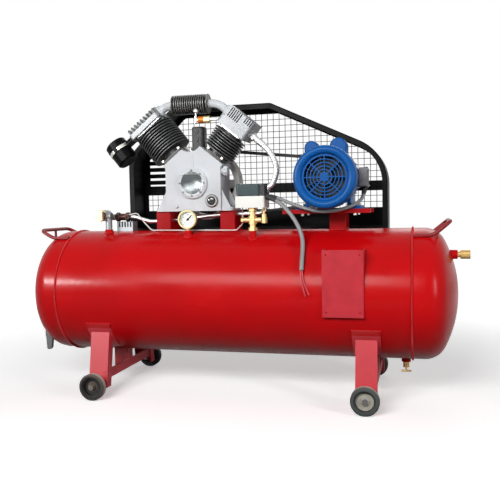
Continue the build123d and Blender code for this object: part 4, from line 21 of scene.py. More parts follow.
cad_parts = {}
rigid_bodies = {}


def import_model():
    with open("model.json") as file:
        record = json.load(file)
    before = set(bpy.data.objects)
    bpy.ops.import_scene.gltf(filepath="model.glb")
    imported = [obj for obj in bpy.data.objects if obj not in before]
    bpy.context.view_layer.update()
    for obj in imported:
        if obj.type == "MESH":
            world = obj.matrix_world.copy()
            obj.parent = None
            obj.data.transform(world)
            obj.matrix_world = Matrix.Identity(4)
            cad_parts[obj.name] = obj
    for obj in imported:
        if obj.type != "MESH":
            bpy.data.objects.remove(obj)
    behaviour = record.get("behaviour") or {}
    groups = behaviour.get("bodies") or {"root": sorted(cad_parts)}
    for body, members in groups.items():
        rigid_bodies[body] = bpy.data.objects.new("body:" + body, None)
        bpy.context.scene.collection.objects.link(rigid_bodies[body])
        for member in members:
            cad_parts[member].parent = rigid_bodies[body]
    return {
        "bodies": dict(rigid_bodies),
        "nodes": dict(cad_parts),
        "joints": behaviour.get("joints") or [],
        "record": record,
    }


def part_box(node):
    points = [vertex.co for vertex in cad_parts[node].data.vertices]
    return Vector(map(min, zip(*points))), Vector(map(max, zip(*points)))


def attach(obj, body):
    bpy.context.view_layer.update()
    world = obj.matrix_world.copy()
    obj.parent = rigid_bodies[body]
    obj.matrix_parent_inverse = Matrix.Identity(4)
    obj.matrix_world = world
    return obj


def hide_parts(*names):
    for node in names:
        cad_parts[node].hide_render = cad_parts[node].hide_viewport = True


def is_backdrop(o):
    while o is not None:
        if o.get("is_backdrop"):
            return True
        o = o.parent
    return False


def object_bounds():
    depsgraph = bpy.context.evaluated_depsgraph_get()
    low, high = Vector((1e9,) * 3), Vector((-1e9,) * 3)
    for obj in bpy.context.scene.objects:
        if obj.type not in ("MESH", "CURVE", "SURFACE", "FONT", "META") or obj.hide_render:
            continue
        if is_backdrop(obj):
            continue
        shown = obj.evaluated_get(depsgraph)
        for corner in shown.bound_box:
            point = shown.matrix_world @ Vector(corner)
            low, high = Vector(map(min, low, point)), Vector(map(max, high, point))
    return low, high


LOG = logging.getLogger("compressor")
MACHINE = "machine"
TUBE_UV = "tube"
FAR = 9.0  # beyond every piece: a zone's side with this limit is open
ON_AXIS = 1e-9  # a turned profile's radius below this closes an end
SAME_POINT = 0.000001  # points nearer than this are one
BEVEL_SAMPLES = 4
WHITE = (1.0, 1.0, 1.0, 1.0)
CRANK_X, CRANK_Z = -0.1835, 0.808
BANK_LEAN = 39.0  # degrees from upright of each cylinder bank
LEFT_AXLE_X, RIGHT_AXLE_X, AXLE_Z = -0.5205, 0.4895, 0.050
Rgb = tuple[float, float, float]
Point = tuple[float, float, float]
Flat = tuple[float, float]


# ---------------------------------------------------------------- node helpers
class NodeBook:
    """Adds nodes to one node tree and feeds their sockets."""

    def __init__(self, tree: bpy.types.NodeTree) -> None:
        """Keep the tree that the nodes go into."""
        self.tree = tree

    def feed(self, socket: bpy.types.NodeSocket, value: object) -> None:
        """Link an output socket, or set a plain value.

        Args:
            socket: The input socket to feed.
            value: Another node's output socket, or a constant.
        """
        if isinstance(value, bpy.types.NodeSocket):
            self.tree.links.new(value, socket)
        else:
            socket.default_value = value

    def add(self, kind: str, inputs: dict | None = None, **settings: object) -> bpy.types.Node:
        """Add a node.

        Args:
            kind: The node's type name.
            inputs: Values or output sockets by input name or index.
            settings: Properties of the node itself.

        Returns:
            The new node.
        """
        node = self.tree.nodes.new(kind)
        for name, value in settings.items():
            setattr(node, name, value)
        for name, value in (inputs or {}).items():
            self.feed(node.inputs[name], value)
        return node

    def math(self, operation: str, first: object, second: object = 0.5,
             clamp: bool = False) -> bpy.types.NodeSocket:
        """Add a Math node and return its result, held between 0 and 1 where clamp is set."""
        values = {0: first, 1: second}
        return self.add("ShaderNodeMath", values, operation=operation, use_clamp=clamp).outputs[0]

    def scaled(self, value: object, factor: object, offset: object) -> bpy.types.NodeSocket:
        """Multiply a value by a factor, add an offset and return the result."""
        result = self.math("MULTIPLY_ADD", value, factor)
        self.feed(result.node.inputs[2], offset)
        return result

    def vector_math(self, operation: str, first: object, second: object = None) -> bpy.types.NodeSocket:
        """Add a Vector Math node on one or two vectors and return the number that it gives."""
        values = {0: first} if second is None else {0: first, 1: second}
        return self.add("ShaderNodeVectorMath", values, operation=operation).outputs["Value"]

    def spread(self, value: object, low: float, high: float) -> bpy.types.NodeSocket:
        """Map a value so that low gives 0 and high gives 1, held between them."""
        node = self.add("ShaderNodeMapRange", {"Value": value, "From Min": low, "From Max": high})
        return node.outputs["Result"]

    def blend(self, amount: object, first: object, second: object) -> bpy.types.NodeSocket:
        """Mix two colours, the amount being the share of the second."""
        colours = {0: amount, 6: first, 7: second}
        return self.add("ShaderNodeMix", colours, data_type="RGBA", clamp_factor=True).outputs[2]

    def mix(self, amount: object, first: object, second: object) -> bpy.types.NodeSocket:
        """Mix two numbers, the amount being the share of the second."""
        numbers = {0: amount, 2: first, 3: second}
        return self.add("ShaderNodeMix", numbers, data_type="FLOAT").outputs[0]

    def noise(self, vector: object, scale: object, detail: float,
              rough: float = 0.55) -> bpy.types.NodeSocket:
        """Add a noise texture of so many waves per metre and octaves, and return its value."""
        values = {"Vector": vector, "Scale": scale, "Detail": detail, "Roughness": rough}
        return self.add("ShaderNodeTexNoise", values).outputs["Fac"]


SHADING, SHAPING = "ShaderNodeTree", "GeometryNodeTree"
FLOAT, VECTOR, INTEGER = "NodeSocketFloat", "NodeSocketVector", "NodeSocketInt"
GEOMETRY, MATERIAL, OBJECT = "NodeSocketGeometry", "NodeSocketMaterial", "NodeSocketObject"


def group_tree(name: str, kind: str, inputs: dict[str, tuple],
               outputs: dict[str, str]) -> tuple[NodeBook, dict, dict]:
    """Start a node group with named sockets.

    Args:
        name: The group's name.
        kind: SHADING or SHAPING.
        inputs: Socket type and default by input name; None leaves the default.
        outputs: Socket type by output name.

    Returns:
        The book to add nodes with, the input sockets by name, and the output sockets by name.
    """
    tree = bpy.data.node_groups.new(name, kind)
    for label, (socket_type, value) in inputs.items():
        socket = tree.interface.new_socket(name=label, in_out="INPUT", socket_type=socket_type)
        if value is not None:
            socket.default_value = value
    for label, socket_type in outputs.items():
        tree.interface.new_socket(name=label, in_out="OUTPUT", socket_type=socket_type)
    book = NodeBook(tree)
    entry = book.add("NodeGroupInput")
    leave = book.add("NodeGroupOutput")
    return book, {k: entry.outputs[k] for k in inputs}, {k: leave.inputs[k] for k in outputs}


# ---------------------------------------------------------------- shared surface effects
class Effect(Enum):
    """Shader groups that more than one finish uses."""

    GRAIN = "fine grain and slow variation"
    EDGE_WEAR = "paint worn along sharp edges"
    DUST = "dust on faces that look up"
    BRAID = "crossed strands round a hose"


def make_grain() -> bpy.types.NodeTree:
    """Build the group that gives fine grain for bump and slow variation for colour."""
    sockets = {"Vector": (VECTOR, None), "Fine Scale": (FLOAT, 900.0), "Slow Scale": (FLOAT, 9.0)}
    results = {"Height": FLOAT, "Variation": FLOAT}
    book, given, out = group_tree(Effect.GRAIN.value, SHADING, sockets, results)
    fine = book.noise(given["Vector"], given["Fine Scale"], 3.0)
    slow = book.noise(given["Vector"], given["Slow Scale"], 5.0)
    book.feed(out["Height"], fine)
    book.feed(out["Variation"], book.spread(slow, 0.3, 0.7))
    return book.tree


def make_edge_wear_and_highlight() -> bpy.types.NodeTree:
    """Build the group that finds sharp edges, broken up by noise unless its evenness is raised: worn paint on
    some finishes, painted highlight on others.
    """
    sockets = {"Vector": (VECTOR, None), "Radius": (FLOAT, 0.002), "Amount": (FLOAT, 0.3),
               "Evenness": (FLOAT, 0.0)}
    book, given, out = group_tree(Effect.EDGE_WEAR.value, SHADING, sockets, {"Mask": FLOAT})
    bevel = book.add("ShaderNodeBevel", {"Radius": given["Radius"]}, samples=BEVEL_SAMPLES)
    true = book.add("ShaderNodeNewGeometry").outputs["Normal"]
    # A bevelled normal that turns away from the face's own shows a sharp edge.
    edge = book.spread(book.vector_math("DOT_PRODUCT", bevel.outputs["Normal"], true), 0.97, 0.8)
    patchy = book.spread(book.noise(given["Vector"], 130.0, 6.0, 0.7), 0.45, 0.62)
    edge_band = book.math("MULTIPLY", edge, book.math("MAXIMUM", patchy, given["Evenness"]))
    book.feed(out["Mask"], book.math("MULTIPLY", edge_band, given["Amount"], clamp=True))
    return book.tree


def make_dust() -> bpy.types.NodeTree:
    """Build the group that lays patchy dust on faces that look up."""
    sockets = {"Vector": (VECTOR, None), "Amount": (FLOAT, 0.3)}
    book, given, out = group_tree(Effect.DUST.value, SHADING, sockets, {"Mask": FLOAT})
    normal = book.add("ShaderNodeNewGeometry").outputs["Normal"]
    upward = book.add("ShaderNodeSeparateXYZ", {0: normal}).outputs["Z"]
    lying = book.spread(upward, 0.2, 1.0)
    patchy = book.spread(book.noise(given["Vector"], 24.0, 8.0, 0.65), 0.3, 0.75)
    settled = book.math("MULTIPLY", lying, patchy)
    book.feed(out["Mask"], book.math("MULTIPLY", settled, given["Amount"], clamp=True))
    return book.tree


def make_braid() -> bpy.types.NodeTree:
    """Build the group that crosses strands in a tube's own coordinates, across in U and along in V."""
    sockets = {"Across": (FLOAT, 0.0), "Along": (FLOAT, 0.0), "Strands": (FLOAT, 12.0),
               "Pitch": (FLOAT, 0.012)}
    results = {"Height": FLOAT, "Gap": FLOAT}
    book, given, out = group_tree(Effect.BRAID.value, SHADING, sockets, results)
    around = book.math("MULTIPLY", given["Across"], given["Strands"])
    along = book.math("DIVIDE", given["Along"], given["Pitch"])
    waves = []  # one for the strands that climb to the right, one for those that climb to the left
    for operation in ("ADD", "SUBTRACT"):
        turn = book.math("MULTIPLY", book.math(operation, around, along), math.tau)
        waves.append(book.math("ABSOLUTE", book.math("SINE", book.math("MULTIPLY", turn, 0.5))))
    high, low = book.math("MAXIMUM", *waves), book.math("MINIMUM", *waves)
    height = book.math("ADD", book.math("MULTIPLY", high, 0.6), book.math("MULTIPLY", low, 0.4))
    book.feed(out["Height"], height)
    book.feed(out["Gap"], book.spread(high, 0.75, 0.3))
    return book.tree


MAKERS = {Effect.GRAIN: make_grain, Effect.EDGE_WEAR: make_edge_wear_and_highlight, Effect.DUST: make_dust,
          Effect.BRAID: make_braid}


class Effects:
    """Builds each shader group once and places it where a finish asks."""

    def __init__(self) -> None:
        """Start with no group built."""
        self.built: dict[Effect, bpy.types.NodeTree] = {}

    def place(self, book: NodeBook, effect: Effect, inputs: dict) -> bpy.types.Node:
        """Add an effect's group to a material.

        Args:
            book: The material's nodes.
            effect: Which effect.
            inputs: The group's inputs by name.

        Returns:
            The group node.
        """
        if effect not in self.built:
            self.built[effect] = MAKERS[effect]()
        node = book.add("ShaderNodeGroup", node_tree=self.built[effect])
        for name, value in inputs.items():
            book.feed(node.inputs[name], value)
        return node


EFFECTS = Effects()


# ---------------------------------------------------------------- finishes
def new_material(name: str) -> tuple[bpy.types.Material, NodeBook, bpy.types.Node]:
    """Start a material: give it, the book to add its nodes with, and its main shader."""
    material = bpy.data.materials.new(name)
    material.use_nodes = True
    return material, NodeBook(material.node_tree), material.node_tree.nodes["Principled BSDF"]


def object_place(book: NodeBook) -> bpy.types.NodeSocket:
    """Add the node that gives object coordinates."""
    return book.add("ShaderNodeTexCoord").outputs["Object"]


@dataclass
class Surface:
    """What a finish puts on one surface: sockets or plain values."""

    colour: object
    roughness: object
    metallic: object
    height: bpy.types.NodeSocket

    def mixed(self, book: NodeBook, mask: bpy.types.NodeSocket, other: Surface) -> Surface:
        """Lay another surface over this one where the mask is 1.

        Args:
            book: The material's nodes.
            mask: The share of the other surface.
            other: The other surface.

        Returns:
            The mixed surface.
        """
        return Surface(roughness=book.mix(mask, self.roughness, other.roughness),
                       metallic=book.mix(mask, self.metallic, other.metallic),
                       height=book.mix(mask, self.height, other.height),
                       colour=book.blend(mask, self.colour, other.colour))


@dataclass(frozen=True)
class Finish:
    """One opaque surface: paint, casting, bare metal, plastic or rubber."""

    name: str
    base: Rgb
    roughness: float
    metallic: float = 0.0
    specular: float = 0.3
    tint: float = 0.15
    grain_scale: float = 900.0
    grain_depth: float = 0.00002
    slow_scale: float = 9.0
    edge_wear_and_highlight: float = 0.0
    edge_band_radius: float = 0.002
    wear_and_highlight_colour: Rgb = (0.30, 0.28, 0.26)
    wear_and_highlight_metal: float = 0.6
    highlight_evenness: float = 0.0
    dust: float = 0.0
    dust_colour: Rgb = (0.36, 0.32, 0.27)
    soft_edge: float = 0.0006

    def surface(self, book: NodeBook, place: bpy.types.NodeSocket) -> Surface:
        """Add the nodes that give this finish's colour, roughness, metal and grain.

        Args:
            book: The material's nodes.
            place: Object coordinates.

        Returns:
            The surface.
        """
        grain = EFFECTS.place(book, Effect.GRAIN, {"Vector": place, "Fine Scale": self.grain_scale,
                                                   "Slow Scale": self.slow_scale})
        dark = tuple(c * (1 - self.tint) for c in self.base) + (1.0,)
        light = tuple(min(1.0, c * (1 + self.tint)) for c in self.base) + (1.0,)
        colour = book.blend(grain.outputs["Variation"], dark, light)
        rough = book.scaled(grain.outputs["Variation"], 0.12, self.roughness)
        metallic: object = self.metallic
        # The edge band is worn paint on most finishes, and painted highlight on the fins' rims and the legs'
        # edges.
        if self.edge_wear_and_highlight > 0:
            edge_wear_and_highlight = EFFECTS.place(book, Effect.EDGE_WEAR, {
                "Vector": place, "Amount": self.edge_wear_and_highlight, "Radius": self.edge_band_radius,
                "Evenness": self.highlight_evenness}).outputs["Mask"]
            colour = book.blend(edge_wear_and_highlight, colour, (*self.wear_and_highlight_colour, 1.0))
            metallic = book.math("MAXIMUM", book.math("MULTIPLY", edge_wear_and_highlight, self.wear_and_highlight_metal), self.metallic)
        if self.dust > 0:
            dust = EFFECTS.place(book, Effect.DUST,
                                 {"Vector": place, "Amount": self.dust}).outputs["Mask"]
            colour = book.blend(dust, colour, (*self.dust_colour, 1.0))
            rough = book.math("ADD", rough, book.math("MULTIPLY", dust, 0.4), clamp=True)
        return Surface(colour, rough, metallic, grain.outputs["Height"])

    def build(self) -> bpy.types.Material:
        """Build the material, or return the one already built."""
        return built(self.name, self, ())


class Zone:
    """A part of a piece's space that a second finish covers."""

    def mask(self, book: NodeBook, place: bpy.types.NodeSocket) -> bpy.types.NodeSocket:
        """Add the nodes that are 1 inside the zone and 0 outside, from object coordinates."""
        raise NotImplementedError


@dataclass(frozen=True)
class Box(Zone):
    """The space between two corners, open towards a side that is FAR."""

    low: Point = (-FAR, -FAR, -FAR)
    high: Point = (FAR, FAR, FAR)

    def mask(self, book: NodeBook, place: bpy.types.NodeSocket) -> bpy.types.NodeSocket:
        """Add the nodes that are 1 between the corners."""
        split = book.add("ShaderNodeSeparateXYZ", {0: place})
        found = None
        for axis in range(3):
            for limit, operation in ((self.low[axis], "GREATER_THAN"), (self.high[axis], "LESS_THAN")):
                if abs(limit) < FAR:
                    side = book.math(operation, split.outputs[axis], limit)
                    found = side if found is None else book.math("MULTIPLY", found, side)
        return found


@dataclass(frozen=True)
class Ring(Zone):
    """The space between two radii round an axis along Y."""

    centre: Flat
    inner: float
    outer: float

    def mask(self, book: NodeBook, place: bpy.types.NodeSocket) -> bpy.types.NodeSocket:
        """Add the nodes that are 1 between the radii."""
        split = book.add("ShaderNodeSeparateXYZ", {0: place})
        flat = book.add("ShaderNodeCombineXYZ", {0: split.outputs[0], 2: split.outputs[2]}).outputs[0]
        away = book.vector_math("DISTANCE", flat, (self.centre[0], 0.0, self.centre[1]))
        beyond = book.math("GREATER_THAN", away, self.inner)
        return book.math("MULTIPLY", beyond, book.math("LESS_THAN", away, self.outer))


@dataclass(frozen=True)
class Beyond(Zone):
    """The space beyond a plane square to an axis that leans about Y: reach is measured from the start."""

    start: Point
    lean: float
    reach: float

    def mask(self, book: NodeBook, place: bpy.types.NodeSocket) -> bpy.types.NodeSocket:
        """Add the nodes that are 1 beyond the plane."""
        turn = math.radians(self.lean)
        way = Vector((math.sin(turn), 0.0, math.cos(turn)))
        along = book.vector_math("DOT_PRODUCT", place, tuple(way))
        return book.math("GREATER_THAN", along, way.dot(Vector(self.start)) + self.reach)


@dataclass(frozen=True)
class ZonedFinish:
    """A main finish with others inside zones of the same piece."""

    name: str
    main: Finish
    zones: tuple[tuple[Zone, Finish], ...]

    def build(self) -> bpy.types.Material:
        """Build the material, or return the one already built."""
        return built(self.name, self.main, self.zones)


def built(name: str, main: Finish, zones: tuple[tuple[Zone, Finish], ...]) -> bpy.types.Material:
    """Build a material from a finish and its zones, or return the one already built.

    Args:
        name: The material's name.
        main: The finish outside every zone.
        zones: Each zone and its finish.

    Returns:
        The material.
    """
    found = bpy.data.materials.get(name)
    if found:
        return found
    material, book, shader = new_material(name)
    place = object_place(book)
    surface = main.surface(book, place)
    for zone, finish in zones:
        surface = surface.mixed(book, zone.mask(book, place), finish.surface(book, place))
    for socket, value in (("Base Color", surface.colour), ("Roughness", surface.roughness),
                          ("Metallic", surface.metallic), ("Specular IOR Level", main.specular)):
        book.feed(shader.inputs[socket], value)
    edge = book.add("ShaderNodeBevel", {"Radius": main.soft_edge}, samples=BEVEL_SAMPLES)
    bump = book.add("ShaderNodeBump", {"Height": surface.height, "Distance": main.grain_depth,
                                       "Normal": edge.outputs["Normal"]})
    book.feed(shader.inputs["Normal"], bump.outputs["Normal"])
    return material


@dataclass(frozen=True)
class BraidFinish:
    """Woven steel braid on a hose, in the piece's own UV map: U round the hose, V along it in metres."""

    name: str
    base: Rgb
    strands: float
    pitch: float
    roughness: float = 0.38
    metallic: float = 0.6
    gap_shade: float = 0.3
    strand_depth: float = 0.0006

    def build(self) -> bpy.types.Material:
        """Build the braid's material.

        Returns:
            The material.
        """
        material, book, shader = new_material(self.name)
        tube_map = book.add("ShaderNodeUVMap", uv_map=TUBE_UV).outputs["UV"]
        tube = book.add("ShaderNodeSeparateXYZ", {0: tube_map})
        braid = EFFECTS.place(book, Effect.BRAID, {"Across": tube.outputs["X"], "Along": tube.outputs["Y"],
                                                   "Strands": self.strands, "Pitch": self.pitch})
        shade = tuple(c * self.gap_shade for c in self.base) + (1.0,)
        book.feed(shader.inputs["Base Color"], book.blend(braid.outputs["Gap"], (*self.base, 1.0), shade))
        book.feed(shader.inputs["Metallic"], self.metallic)
        book.feed(shader.inputs["Roughness"], self.roughness)
        bump = book.add("ShaderNodeBump", {"Height": braid.outputs["Height"], "Distance": self.strand_depth})
        book.feed(shader.inputs["Normal"], bump.outputs["Normal"])
        return material


@dataclass(frozen=True)
class GlassFinish:
    """Clear gauge glass, faintly smeared."""

    name: str
    tint: Rgb
    bending: float = 1.15
    smear: float = 0.03
    smear_scale: float = 300.0

    def build(self) -> bpy.types.Material:
        """Build the glass material.

        Returns:
            The material.
        """
        material, book, shader = new_material(self.name)
        grain = EFFECTS.place(book, Effect.GRAIN, {"Vector": object_place(book),
                                                   "Fine Scale": self.smear_scale})
        rough = book.math("MULTIPLY", grain.outputs["Variation"], self.smear)
        for socket, value in (("Base Color", (*self.tint, 1.0)), ("Transmission Weight", 1.0),
                              ("IOR", self.bending), ("Roughness", rough)):
            book.feed(shader.inputs[socket], value)
        return material


RED = Finish("receiver_red", (0.56, 0.003, 0.005), 0.17, specular=0.10, tint=0.08, grain_scale=60.0,
             grain_depth=0.0003, slow_scale=5.0, soft_edge=0.0012)
FRAME_RED = Finish("bracket_red", (0.40, 0.004, 0.007), 0.30, specular=0.10, tint=0.14, grain_scale=120.0,
                   grain_depth=0.0003, edge_wear_and_highlight=0.5, wear_and_highlight_colour=(0.20, 0.05, 0.04), wear_and_highlight_metal=0.2, dust=0.04)
# The legs' red is painted pinker than the receiver's, and lighter still along edges, as painted highlight of
# the glare on them.
LEG_RED_PAINTED_GLARE = Finish("undercarriage_red", (0.60, 0.040, 0.055), 0.34, specular=0.35, tint=0.10,
                 grain_scale=120.0, grain_depth=0.0003, edge_wear_and_highlight=0.5, wear_and_highlight_colour=(0.62, 0.14, 0.15),
                 wear_and_highlight_metal=0.0, dust=0.08)
HANDLE_RED = Finish("handle_red", (0.26, 0.008, 0.012), 0.34, specular=0.25, tint=0.2, edge_wear_and_highlight=0.6,
                    wear_and_highlight_colour=(0.12, 0.06, 0.05), dust=0.1)
PLATE_RED = Finish("plate_red", (0.54, 0.026, 0.040), 0.32, specular=0.25, tint=0.14, grain_scale=90.0,
                   grain_depth=0.0004, slow_scale=16.0, edge_wear_and_highlight=0.4, wear_and_highlight_colour=(0.62, 0.10, 0.11),
                   wear_and_highlight_metal=0.0, dust=0.12)
SILVER = Finish("silver_casting_paint", (0.66, 0.685, 0.715), 0.45, specular=0.2, tint=0.08,
                grain_scale=420.0, grain_depth=0.0005, edge_wear_and_highlight=0.3, wear_and_highlight_colour=(0.45, 0.45, 0.45), dust=0.15)
# The cover's dish: polished metal, its colour darkened as painted shade and dark reflection in the recess.
DISH_PAINTED_SHADE = Finish("polished_casting", (0.10, 0.11, 0.11), 0.16, metallic=0.8, tint=0.10, grain_scale=420.0,
                  grain_depth=0.0003, dust=0.1)
# The cylinder fins' rims are painted lighter, evenly along every edge, as painted highlight against the black
# between them.
DARK_FINS = Finish("dark_cylinder_paint", (0.020, 0.021, 0.021), 0.34, specular=0.4, tint=0.25,
                   grain_scale=380.0, grain_depth=0.0004, edge_wear_and_highlight=0.95, edge_band_radius=0.0026,
                   wear_and_highlight_colour=(0.46, 0.47, 0.47), wear_and_highlight_metal=0.3, highlight_evenness=0.7)
# The intercooler's fin rims are painted lighter, evenly along every edge, as painted highlight.
COOLER_FINS = Finish("intercooler_metal", (0.10, 0.10, 0.097), 0.34, metallic=0.4, tint=0.2,
                     grain_scale=380.0, grain_depth=0.0003, edge_wear_and_highlight=0.9, wear_and_highlight_colour=(0.50, 0.50, 0.48),
                     wear_and_highlight_metal=0.4, highlight_evenness=0.6)
HEAD_SILVER = Finish("head_casting", (0.27, 0.28, 0.29), 0.38, metallic=0.35, tint=0.10, grain_scale=420.0,
                     grain_depth=0.0005, edge_wear_and_highlight=0.3, wear_and_highlight_colour=(0.60, 0.60, 0.60), dust=0.08)
# The head's ribs are painted darker than the head itself, as painted shade between them.
RIB_PAINTED_SHADE = Finish("shaded_ribs", (0.13, 0.135, 0.135), 0.40, metallic=0.3, tint=0.2, grain_scale=420.0,
                  edge_wear_and_highlight=0.7, wear_and_highlight_colour=(0.50, 0.50, 0.50))
BLACK = Finish("black_guard_paint", (0.003, 0.003, 0.0033), 0.45, specular=0.10, tint=0.25, edge_wear_and_highlight=0.12,
               wear_and_highlight_colour=(0.04, 0.04, 0.04))
LENS_BLACK = Finish("sight_lens_black", (0.010, 0.010, 0.011), 0.06, specular=0.7, tint=0.2,
                    grain_depth=0.00001)
GLOSS_BLACK = Finish("glossy_black", (0.002, 0.002, 0.002), 0.28, specular=0.06, tint=0.2,
                     grain_depth=0.00001)
BLUE = Finish("motor_blue", (0.003, 0.094, 0.35), 0.28, specular=0.13, tint=0.10, grain_scale=200.0,
              grain_depth=0.0003, edge_wear_and_highlight=0.3, wear_and_highlight_colour=(0.03, 0.22, 0.55), wear_and_highlight_metal=0.0)
DARK_GREY = Finish("dark_grey_paint", (0.045, 0.045, 0.045), 0.32, specular=0.5, tint=0.3, edge_wear_and_highlight=0.6,
                   dust=0.08)
FLYWHEEL_GREY = Finish("flywheel_paint", (0.72, 0.72, 0.69), 0.40, metallic=0.2, grain_scale=400.0,
                       grain_depth=0.0004, tint=0.12, dust=0.15)
CAST_GREY = Finish("grey_sheave_casting", (0.16, 0.16, 0.16), 0.5, metallic=0.6, grain_scale=400.0,
                   grain_depth=0.0004, tint=0.2, dust=0.15)
STEEL = Finish("bright_steel", (0.66, 0.66, 0.65), 0.24, metallic=1.0, grain_scale=1500.0, tint=0.06)
ZINC = Finish("bright_zinc", (0.62, 0.61, 0.56), 0.30, metallic=0.9, grain_scale=1200.0, tint=0.15,
              dust=0.05)
DARK_STEEL = Finish("oiled_steel", (0.16, 0.155, 0.15), 0.38, metallic=0.9, grain_scale=1200.0, tint=0.2,
                    dust=0.15)
ALUMINIUM = Finish("machined_aluminium", (0.62, 0.63, 0.64), 0.3, metallic=1.0, grain_scale=1500.0,
                   tint=0.06)
BRASS = Finish("yellow_brass", (0.56, 0.37, 0.14), 0.27, metallic=1.0, grain_scale=700.0, tint=0.22,
               dust=0.1)
PALE_BRASS = Finish("pale_brass", (0.68, 0.50, 0.24), 0.35, metallic=0.6, grain_scale=700.0, tint=0.15)
AMBER_BRASS = Finish("amber_brass", (0.50, 0.16, 0.015), 0.35, metallic=0.4, grain_scale=700.0, tint=0.2)
BROWN_BRASS = Finish("tarnished_brass", (0.050, 0.018, 0.012), 0.30, metallic=0.5, grain_scale=700.0,
                     tint=0.4, edge_wear_and_highlight=0.7, wear_and_highlight_colour=(0.50, 0.36, 0.26))
FITTING_GREY = Finish("grey_fitting", (0.30, 0.325, 0.335), 0.40, metallic=0.5, edge_wear_and_highlight=0.5,
                      wear_and_highlight_colour=(0.60, 0.60, 0.60), dust=0.1)
BEZEL = Finish("gauge_case_paint", (0.55, 0.49, 0.27), 0.3, metallic=0.5, tint=0.12)
TYRE_BROWN = Finish("brown_grey_tyre", (0.075, 0.062, 0.048), 0.6, tint=0.3, grain_scale=500.0,
                    grain_depth=0.0004, dust=0.15)
TYRE_SLATE = Finish("slate_grey_tyre", (0.055, 0.065, 0.062), 0.55, tint=0.25, grain_scale=500.0,
                    grain_depth=0.0004, dust=0.1)
TYRE_BLACK = Finish("black_tyre", (0.008, 0.008, 0.008), 0.55, tint=0.25, grain_scale=500.0,
                    grain_depth=0.0004)
TREAD_PALE = Finish("pale_tread", (0.42, 0.40, 0.34), 0.6, tint=0.2, grain_scale=500.0, grain_depth=0.0004)
HUB_PALE = Finish("pale_hub", (0.42, 0.42, 0.40), 0.4, metallic=0.5, tint=0.2, grain_scale=500.0)
HUB_BROWN = Finish("brown_hub", (0.12, 0.09, 0.065), 0.45, metallic=0.4, tint=0.3, grain_scale=500.0)
HUB_DARK = Finish("dark_hub", (0.012, 0.010, 0.009), 0.5, tint=0.2)
BELT = Finish("belt_rubber", (0.02, 0.02, 0.02), 0.6, tint=0.3, grain_depth=0.0003)
DIAL = Finish("dial_white", (0.80, 0.80, 0.75), 0.45, tint=0.02)
INK = Finish("dial_ink", (0.015, 0.015, 0.015), 0.5, tint=0.1)
SWITCH_WHITE = Finish("switch_housing_white", (0.90, 0.89, 0.84), 0.4, tint=0.03, grain_scale=600.0)
SWITCH_GREY = Finish("switch_cover_grey", (0.040, 0.064, 0.068), 0.30, specular=0.2, tint=0.12,
                     grain_scale=600.0, dust=0.1)
BLACK_PLASTIC = Finish("black_plastic", (0.012, 0.012, 0.012), 0.35, tint=0.2, grain_scale=700.0,
                       dust=0.08)
WHITE_TUBE = Finish("unloader_plastic", (0.72, 0.73, 0.68), 0.3, tint=0.05)
CORD_GREY = Finish("cord_sheath", (0.30, 0.31, 0.315), 0.42, tint=0.10, grain_scale=600.0, dust=0.1)
CORE_RED = Finish("pink_core", (0.62, 0.09, 0.11), 0.4, tint=0.1)
BRAID = BraidFinish("steel_braid", (0.74, 0.74, 0.74), 11.0, 0.011)
GLASS = GlassFinish("gauge_glass", (0.96, 0.98, 0.98))
WELD = Finish("weld_bead", (0.54, 0.005, 0.008), 0.26, specular=0.3, tint=0.12, grain_scale=300.0)

WHEEL_LEFT, WHEEL_RIGHT = (LEFT_AXLE_X, AXLE_Z), (RIGHT_AXLE_X, AXLE_Z)
TYRE_INNER, TYRE_OUTER = 0.034, 0.060
SADDLE_FOOT = 0.2605
RELIEF_LEFT, RELIEF_MIDDLE, RELIEF_RIGHT = -0.1528, -0.1295, -0.1065
RELIEF_LOW, RELIEF_HIGH = 1.030, 1.068
TREAD = Box(low=(-FAR, -0.285, -FAR), high=(FAR, -0.2, FAR))
FRONT_LEFT_WHEEL = ZonedFinish("front_left_wheel", HUB_BROWN, (
    (Ring(WHEEL_LEFT, 0.019, TYRE_INNER), HUB_DARK), (Ring(WHEEL_LEFT, TYRE_INNER, TYRE_OUTER), TYRE_BROWN),
    (TREAD, TREAD_PALE), (Ring(WHEEL_LEFT, 0.0, 0.044), HUB_DARK), (Ring(WHEEL_LEFT, 0.0, 0.019), HUB_BROWN)))
FRONT_RIGHT_WHEEL = ZonedFinish("front_right_wheel", HUB_PALE, (
    (Ring(WHEEL_RIGHT, 0.0, 0.009), HUB_DARK), (Ring(WHEEL_RIGHT, 0.027, TYRE_INNER), HUB_DARK),
    (Ring(WHEEL_RIGHT, TYRE_INNER, TYRE_OUTER), TYRE_SLATE), (TREAD, TREAD_PALE)))
REAR_RIGHT_WHEEL = ZonedFinish("rear_right_wheel", TYRE_BROWN, (
    (Ring(WHEEL_RIGHT, 0.0, 0.030), HUB_BROWN),))
LEG_FRAME = ZonedFinish("leg_frame_red", LEG_RED_PAINTED_GLARE, (
    (Box((-1.0, -1.0, SADDLE_FOOT), (1.0, 1.0, 1.0)), RED),))
# Inside the ring the dish takes its painted shade.
COVER_DISH = ZonedFinish("cover_and_dish", SILVER, ((Ring((CRANK_X, CRANK_Z), 0.0, 0.0446), DISH_PAINTED_SHADE),))
